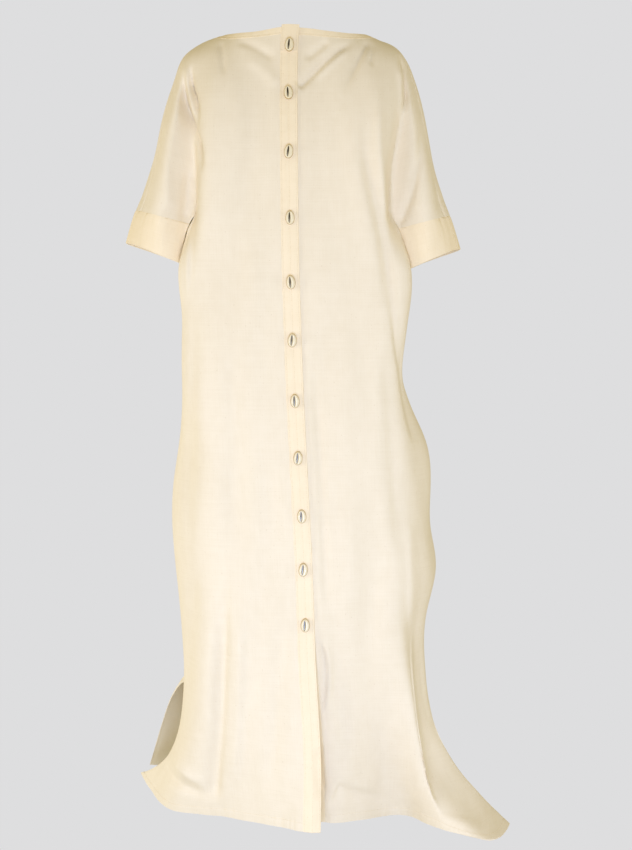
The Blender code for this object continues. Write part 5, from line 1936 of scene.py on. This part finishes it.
@dataclass
class Robe:
    """The whole robe: builds each sub-assembly and hides the model's parts that it stands in for."""

    finishes: Finishes
    form: WornForm = field(default_factory=WornForm)
    relief: ClothRelief = field(default_factory=ClothRelief)
    sheets: dict[str, Sheet] = field(default_factory=dict)
    facet: float = field(default_factory=lambda: 1.0 * MM)

    def shape_sheets(self) -> None:
        """Shapes every sheet of cloth. The figures are sizes of facets in millimetres."""
        form, relief, mm = self.form, self.relief, self.facet
        self.sheets["back"] = BackPanel(form, relief, 5.0 * mm, 5.2 * mm).build()
        for side, panel in ((Side.RIGHT, Panel.RIGHT), (Side.LEFT, Panel.LEFT)):
            front = FrontPanel(form, relief, panel, 3.4 * mm, 3.8 * mm)
            self.sheets[f"front_{panel.value}"] = front.build()
            self.sheets[f"cuff_{panel.value}"] = Cuff(form, relief, side, 2.6 * mm).build()
        for panel in Panel:
            self.sheets[f"neckband_{panel.value}"] = Neckband(form, relief, panel, 2.6 * mm).build()
        for layer in Layer:
            self.sheets[layer.value[0]] = PlacketLayer(form, relief, layer, 1.2 * mm, 3.2 * mm).build()

    def dress_sheets(self) -> None:
        for facts in FACTS:
            sheet = self.sheets[facts.name]
            finish = self.finishes.calico if facts.slot == UNBLEACHED else self.finishes.doubled
            piece = sheet.shell(f"{facts.name}_cloth", finish)
            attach(piece, BODY)
            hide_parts(facts.name)
            across, down = (np.ptp(sheet.measures[name]) for name in ("across", "down"))
            log.info("%s: %.4f m2, %.3f across, %.3f down", facts.name, sheet.area(), across, down)

    def stitch_paths(self) -> list[StitchPath]:
        """The lines of topstitching: placket, neckband and hems."""
        paths = []
        top = self.sheets["placket_top"]
        inset = PlacketLayer.EDGE_STITCH / PLACKET_WIDTH
        for share in (inset, 0.52, 1 - inset):
            for k, patch in enumerate(top.patches):
                rows, columns = patch.shape
                paths.append(trace(top, k, np.arange(float(rows)), share * (columns - 1)))
        head = self.sheets["placket_head"]
        low, wide = (size - 1 for size in head.patches[0].shape)
        for share in (inset, 1 - inset):
            paths.append(trace(head, 0, np.linspace(0.06, 0.94, 16) * low, share * wide))
        paths.append(trace(head, 0, 0.94 * low, np.linspace(inset, 1 - inset, 12) * wide))
        for panel in Panel:
            band = self.sheets[f"neckband_{panel.value}"]
            rows, columns = band.patches[0].shape
            paths.append(trace(band, 0, 0.77 * (rows - 1), np.arange(float(columns))))
        for name in ("front_right", "front_left", "back"):
            paths.append(up_from_hem(self.sheets[name], 1, HEM_TURN - 1.5 * MM))
        return paths

    def dress_trimmings(self) -> None:
        """Adds the cowries and the stitching."""
        shells = CowrieButtons(self.form).build(self.finishes.shell)
        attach(shells, BODY)
        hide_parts(*(f"button_{k:02d}" for k in range(1, len(BUTTONS) + 1)))
        stitches = Topstitching(self.stitch_paths()).build(self.finishes.thread)
        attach(stitches, BODY)
        for piece in (shells, stitches):
            log.info("%s: %d faces", piece.name, len(piece.data.polygons))


@dataclass(frozen=True)
class SoftLight:
    """A large soft lamp: where it stands, where it points, its size, power and colour."""

    name: str
    place: tuple[float, float, float]
    aim: tuple[float, float, float]
    size: float
    power: float
    colour: str

    def make(self) -> None:
        """Hangs the lamp."""
        lamp = bpy.data.lights.new(self.name, "AREA")
        lamp.shape = "DISK"
        lamp.size = self.size
        lamp.energy = self.power
        lamp.color = linear(self.colour)[:3]
        made = bpy.data.objects.new(self.name, lamp)
        made.location = self.place
        made.rotation_euler = (Vector(self.aim) - Vector(self.place)).to_track_quat("-Z", "Y").to_euler()
        bpy.context.scene.collection.objects.link(made)


@dataclass(frozen=True)
class Studio:
    """The camera, the lights, the pale surroundings and the floor."""

    backdrop: str = "DEDEDF"
    fill_colour: str = "FFF2C8"
    floor_level: float = -HEM_DROP - 4 * MM
    floor_radius: float = 1.2
    floor_cover: float = 0.35
    floor_fade: tuple[float, float] = (0.35, 1.10)
    floor_sides: int = 64
    fill: float = 0.528
    focal_length: float = 73.65
    camera_place: tuple[float, float, float] = (0.037, -3.2, -0.52)
    tilt: float = 3.4
    lights: tuple[SoftLight, ...] = (
        SoftLight("key", (-3.0, -2.0, -0.2), (0.0, 0.0, -0.60), 1.3, 14, "FFE9BE"),
        SoftLight("front", (-0.1, -3.4, -0.9), (0.0, 0.0, -0.90), 1.4, 12, "FFEAC8"),
        SoftLight("low_front", (0.0, -2.4, -1.30), (0.0, 0.0, -1.30), 1.2, 40, "C2D4FF"),
        SoftLight("side_left", (-2.3, -1.0, -1.25), (-0.2, 0.1, -1.15), 1.2, 11, "F1F4FF"),
        SoftLight("side_right", (2.4, -0.6, -0.8), (0.0, 0.0, -0.8), 1.4, 10, "FFFFFF"),
        SoftLight("behind_left", (-1.8, 1.6, -1.0), (-0.1, 0.1, -1.1), 1.2, 18, "FFFFFF"),
    )

    def make(self) -> None:
        """Sets up the whole studio."""
        bpy.context.scene.view_settings.view_transform = "Standard"
        self.make_camera()
        self.make_world()
        self.make_floor()
        for light in self.lights:
            light.make()

    def make_camera(self) -> None:
        """A long lens a little above the robe's middle, tilted down slightly."""
        lens = bpy.data.cameras.new("camera")
        lens.lens = self.focal_length
        lens.sensor_width = 36.0
        made = bpy.data.objects.new("camera", lens)
        made.location = self.camera_place
        made.rotation_euler = (math.radians(90 - self.tilt), 0.0, 0.0)
        bpy.context.scene.collection.objects.link(made)
        bpy.context.scene.camera = made

    def make_world(self) -> None:
        """Pale surroundings, whose light on the robe is set apart from how they look."""
        world = bpy.data.worlds.new("studio")
        world.use_nodes = True
        tree = world.node_tree
        tree.nodes.clear()
        seen = add_node(tree, "ShaderNodeBackground", {"Color": linear(self.backdrop)}).outputs[0]
        lit = add_node(
            tree, "ShaderNodeBackground", {"Color": linear(self.fill_colour), "Strength": self.fill}
        ).outputs[0]
        by_eye = add_node(tree, "ShaderNodeLightPath").outputs["Is Camera Ray"]
        both = add_node(tree, "ShaderNodeMixShader", {0: by_eye, 1: lit, 2: seen}).outputs[0]
        add_node(tree, "ShaderNodeOutputWorld", {0: both})
        bpy.context.scene.world = world

    def make_floor(self) -> None:
        """A round pale floor that fades into the surroundings."""
        angle = np.linspace(0, 2 * math.pi, self.floor_sides + 1)[:-1]
        ring = np.stack([np.cos(angle), np.sin(angle), np.zeros(len(angle))], axis=1) * self.floor_radius
        ring[:, 2] = self.floor_level
        made = make_mesh("floor", ring, [list(range(len(angle)))], self.floor_finish())

    def floor_finish(self) -> Material:
        """Matt pale paper, clear towards its rim."""
        material, tree = empty_material("matt_floor_paper")
        place = add_node(tree, "ShaderNodeTexCoord").outputs["Object"]
        far = add_node(tree, "ShaderNodeVectorMath", {0: place}, operation="LENGTH").outputs["Value"]
        start, end = self.floor_fade
        near = add_node(
            tree, "ShaderNodeMapRange",
            {"Value": far, "From Min": start, "From Max": end, "To Min": self.floor_cover, "To Max": 0.0},
        ).outputs[0]
        paper = add_node(
            tree, "ShaderNodeBsdfPrincipled",
            {"Base Color": linear(self.backdrop), "Roughness": 1.0, "Specular IOR Level": 0.0},
        ).outputs[0]
        clear = add_node(tree, "ShaderNodeBsdfTransparent").outputs[0]
        faded = add_node(tree, "ShaderNodeMixShader", {0: near, 1: clear, 2: paper}).outputs[0]
        add_node(tree, "ShaderNodeOutputMaterial", {0: faded})
        return material


def main() -> None:
    """Builds the robe and its studio."""
    logging.basicConfig(level=logging.INFO, format="%(name)s: %(message)s")
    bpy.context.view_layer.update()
    robe = Robe(Finishes.make())
    robe.shape_sheets()
    robe.dress_sheets()
    robe.dress_trimmings()
    Studio().make()


if __name__ == "__main__":
    main()
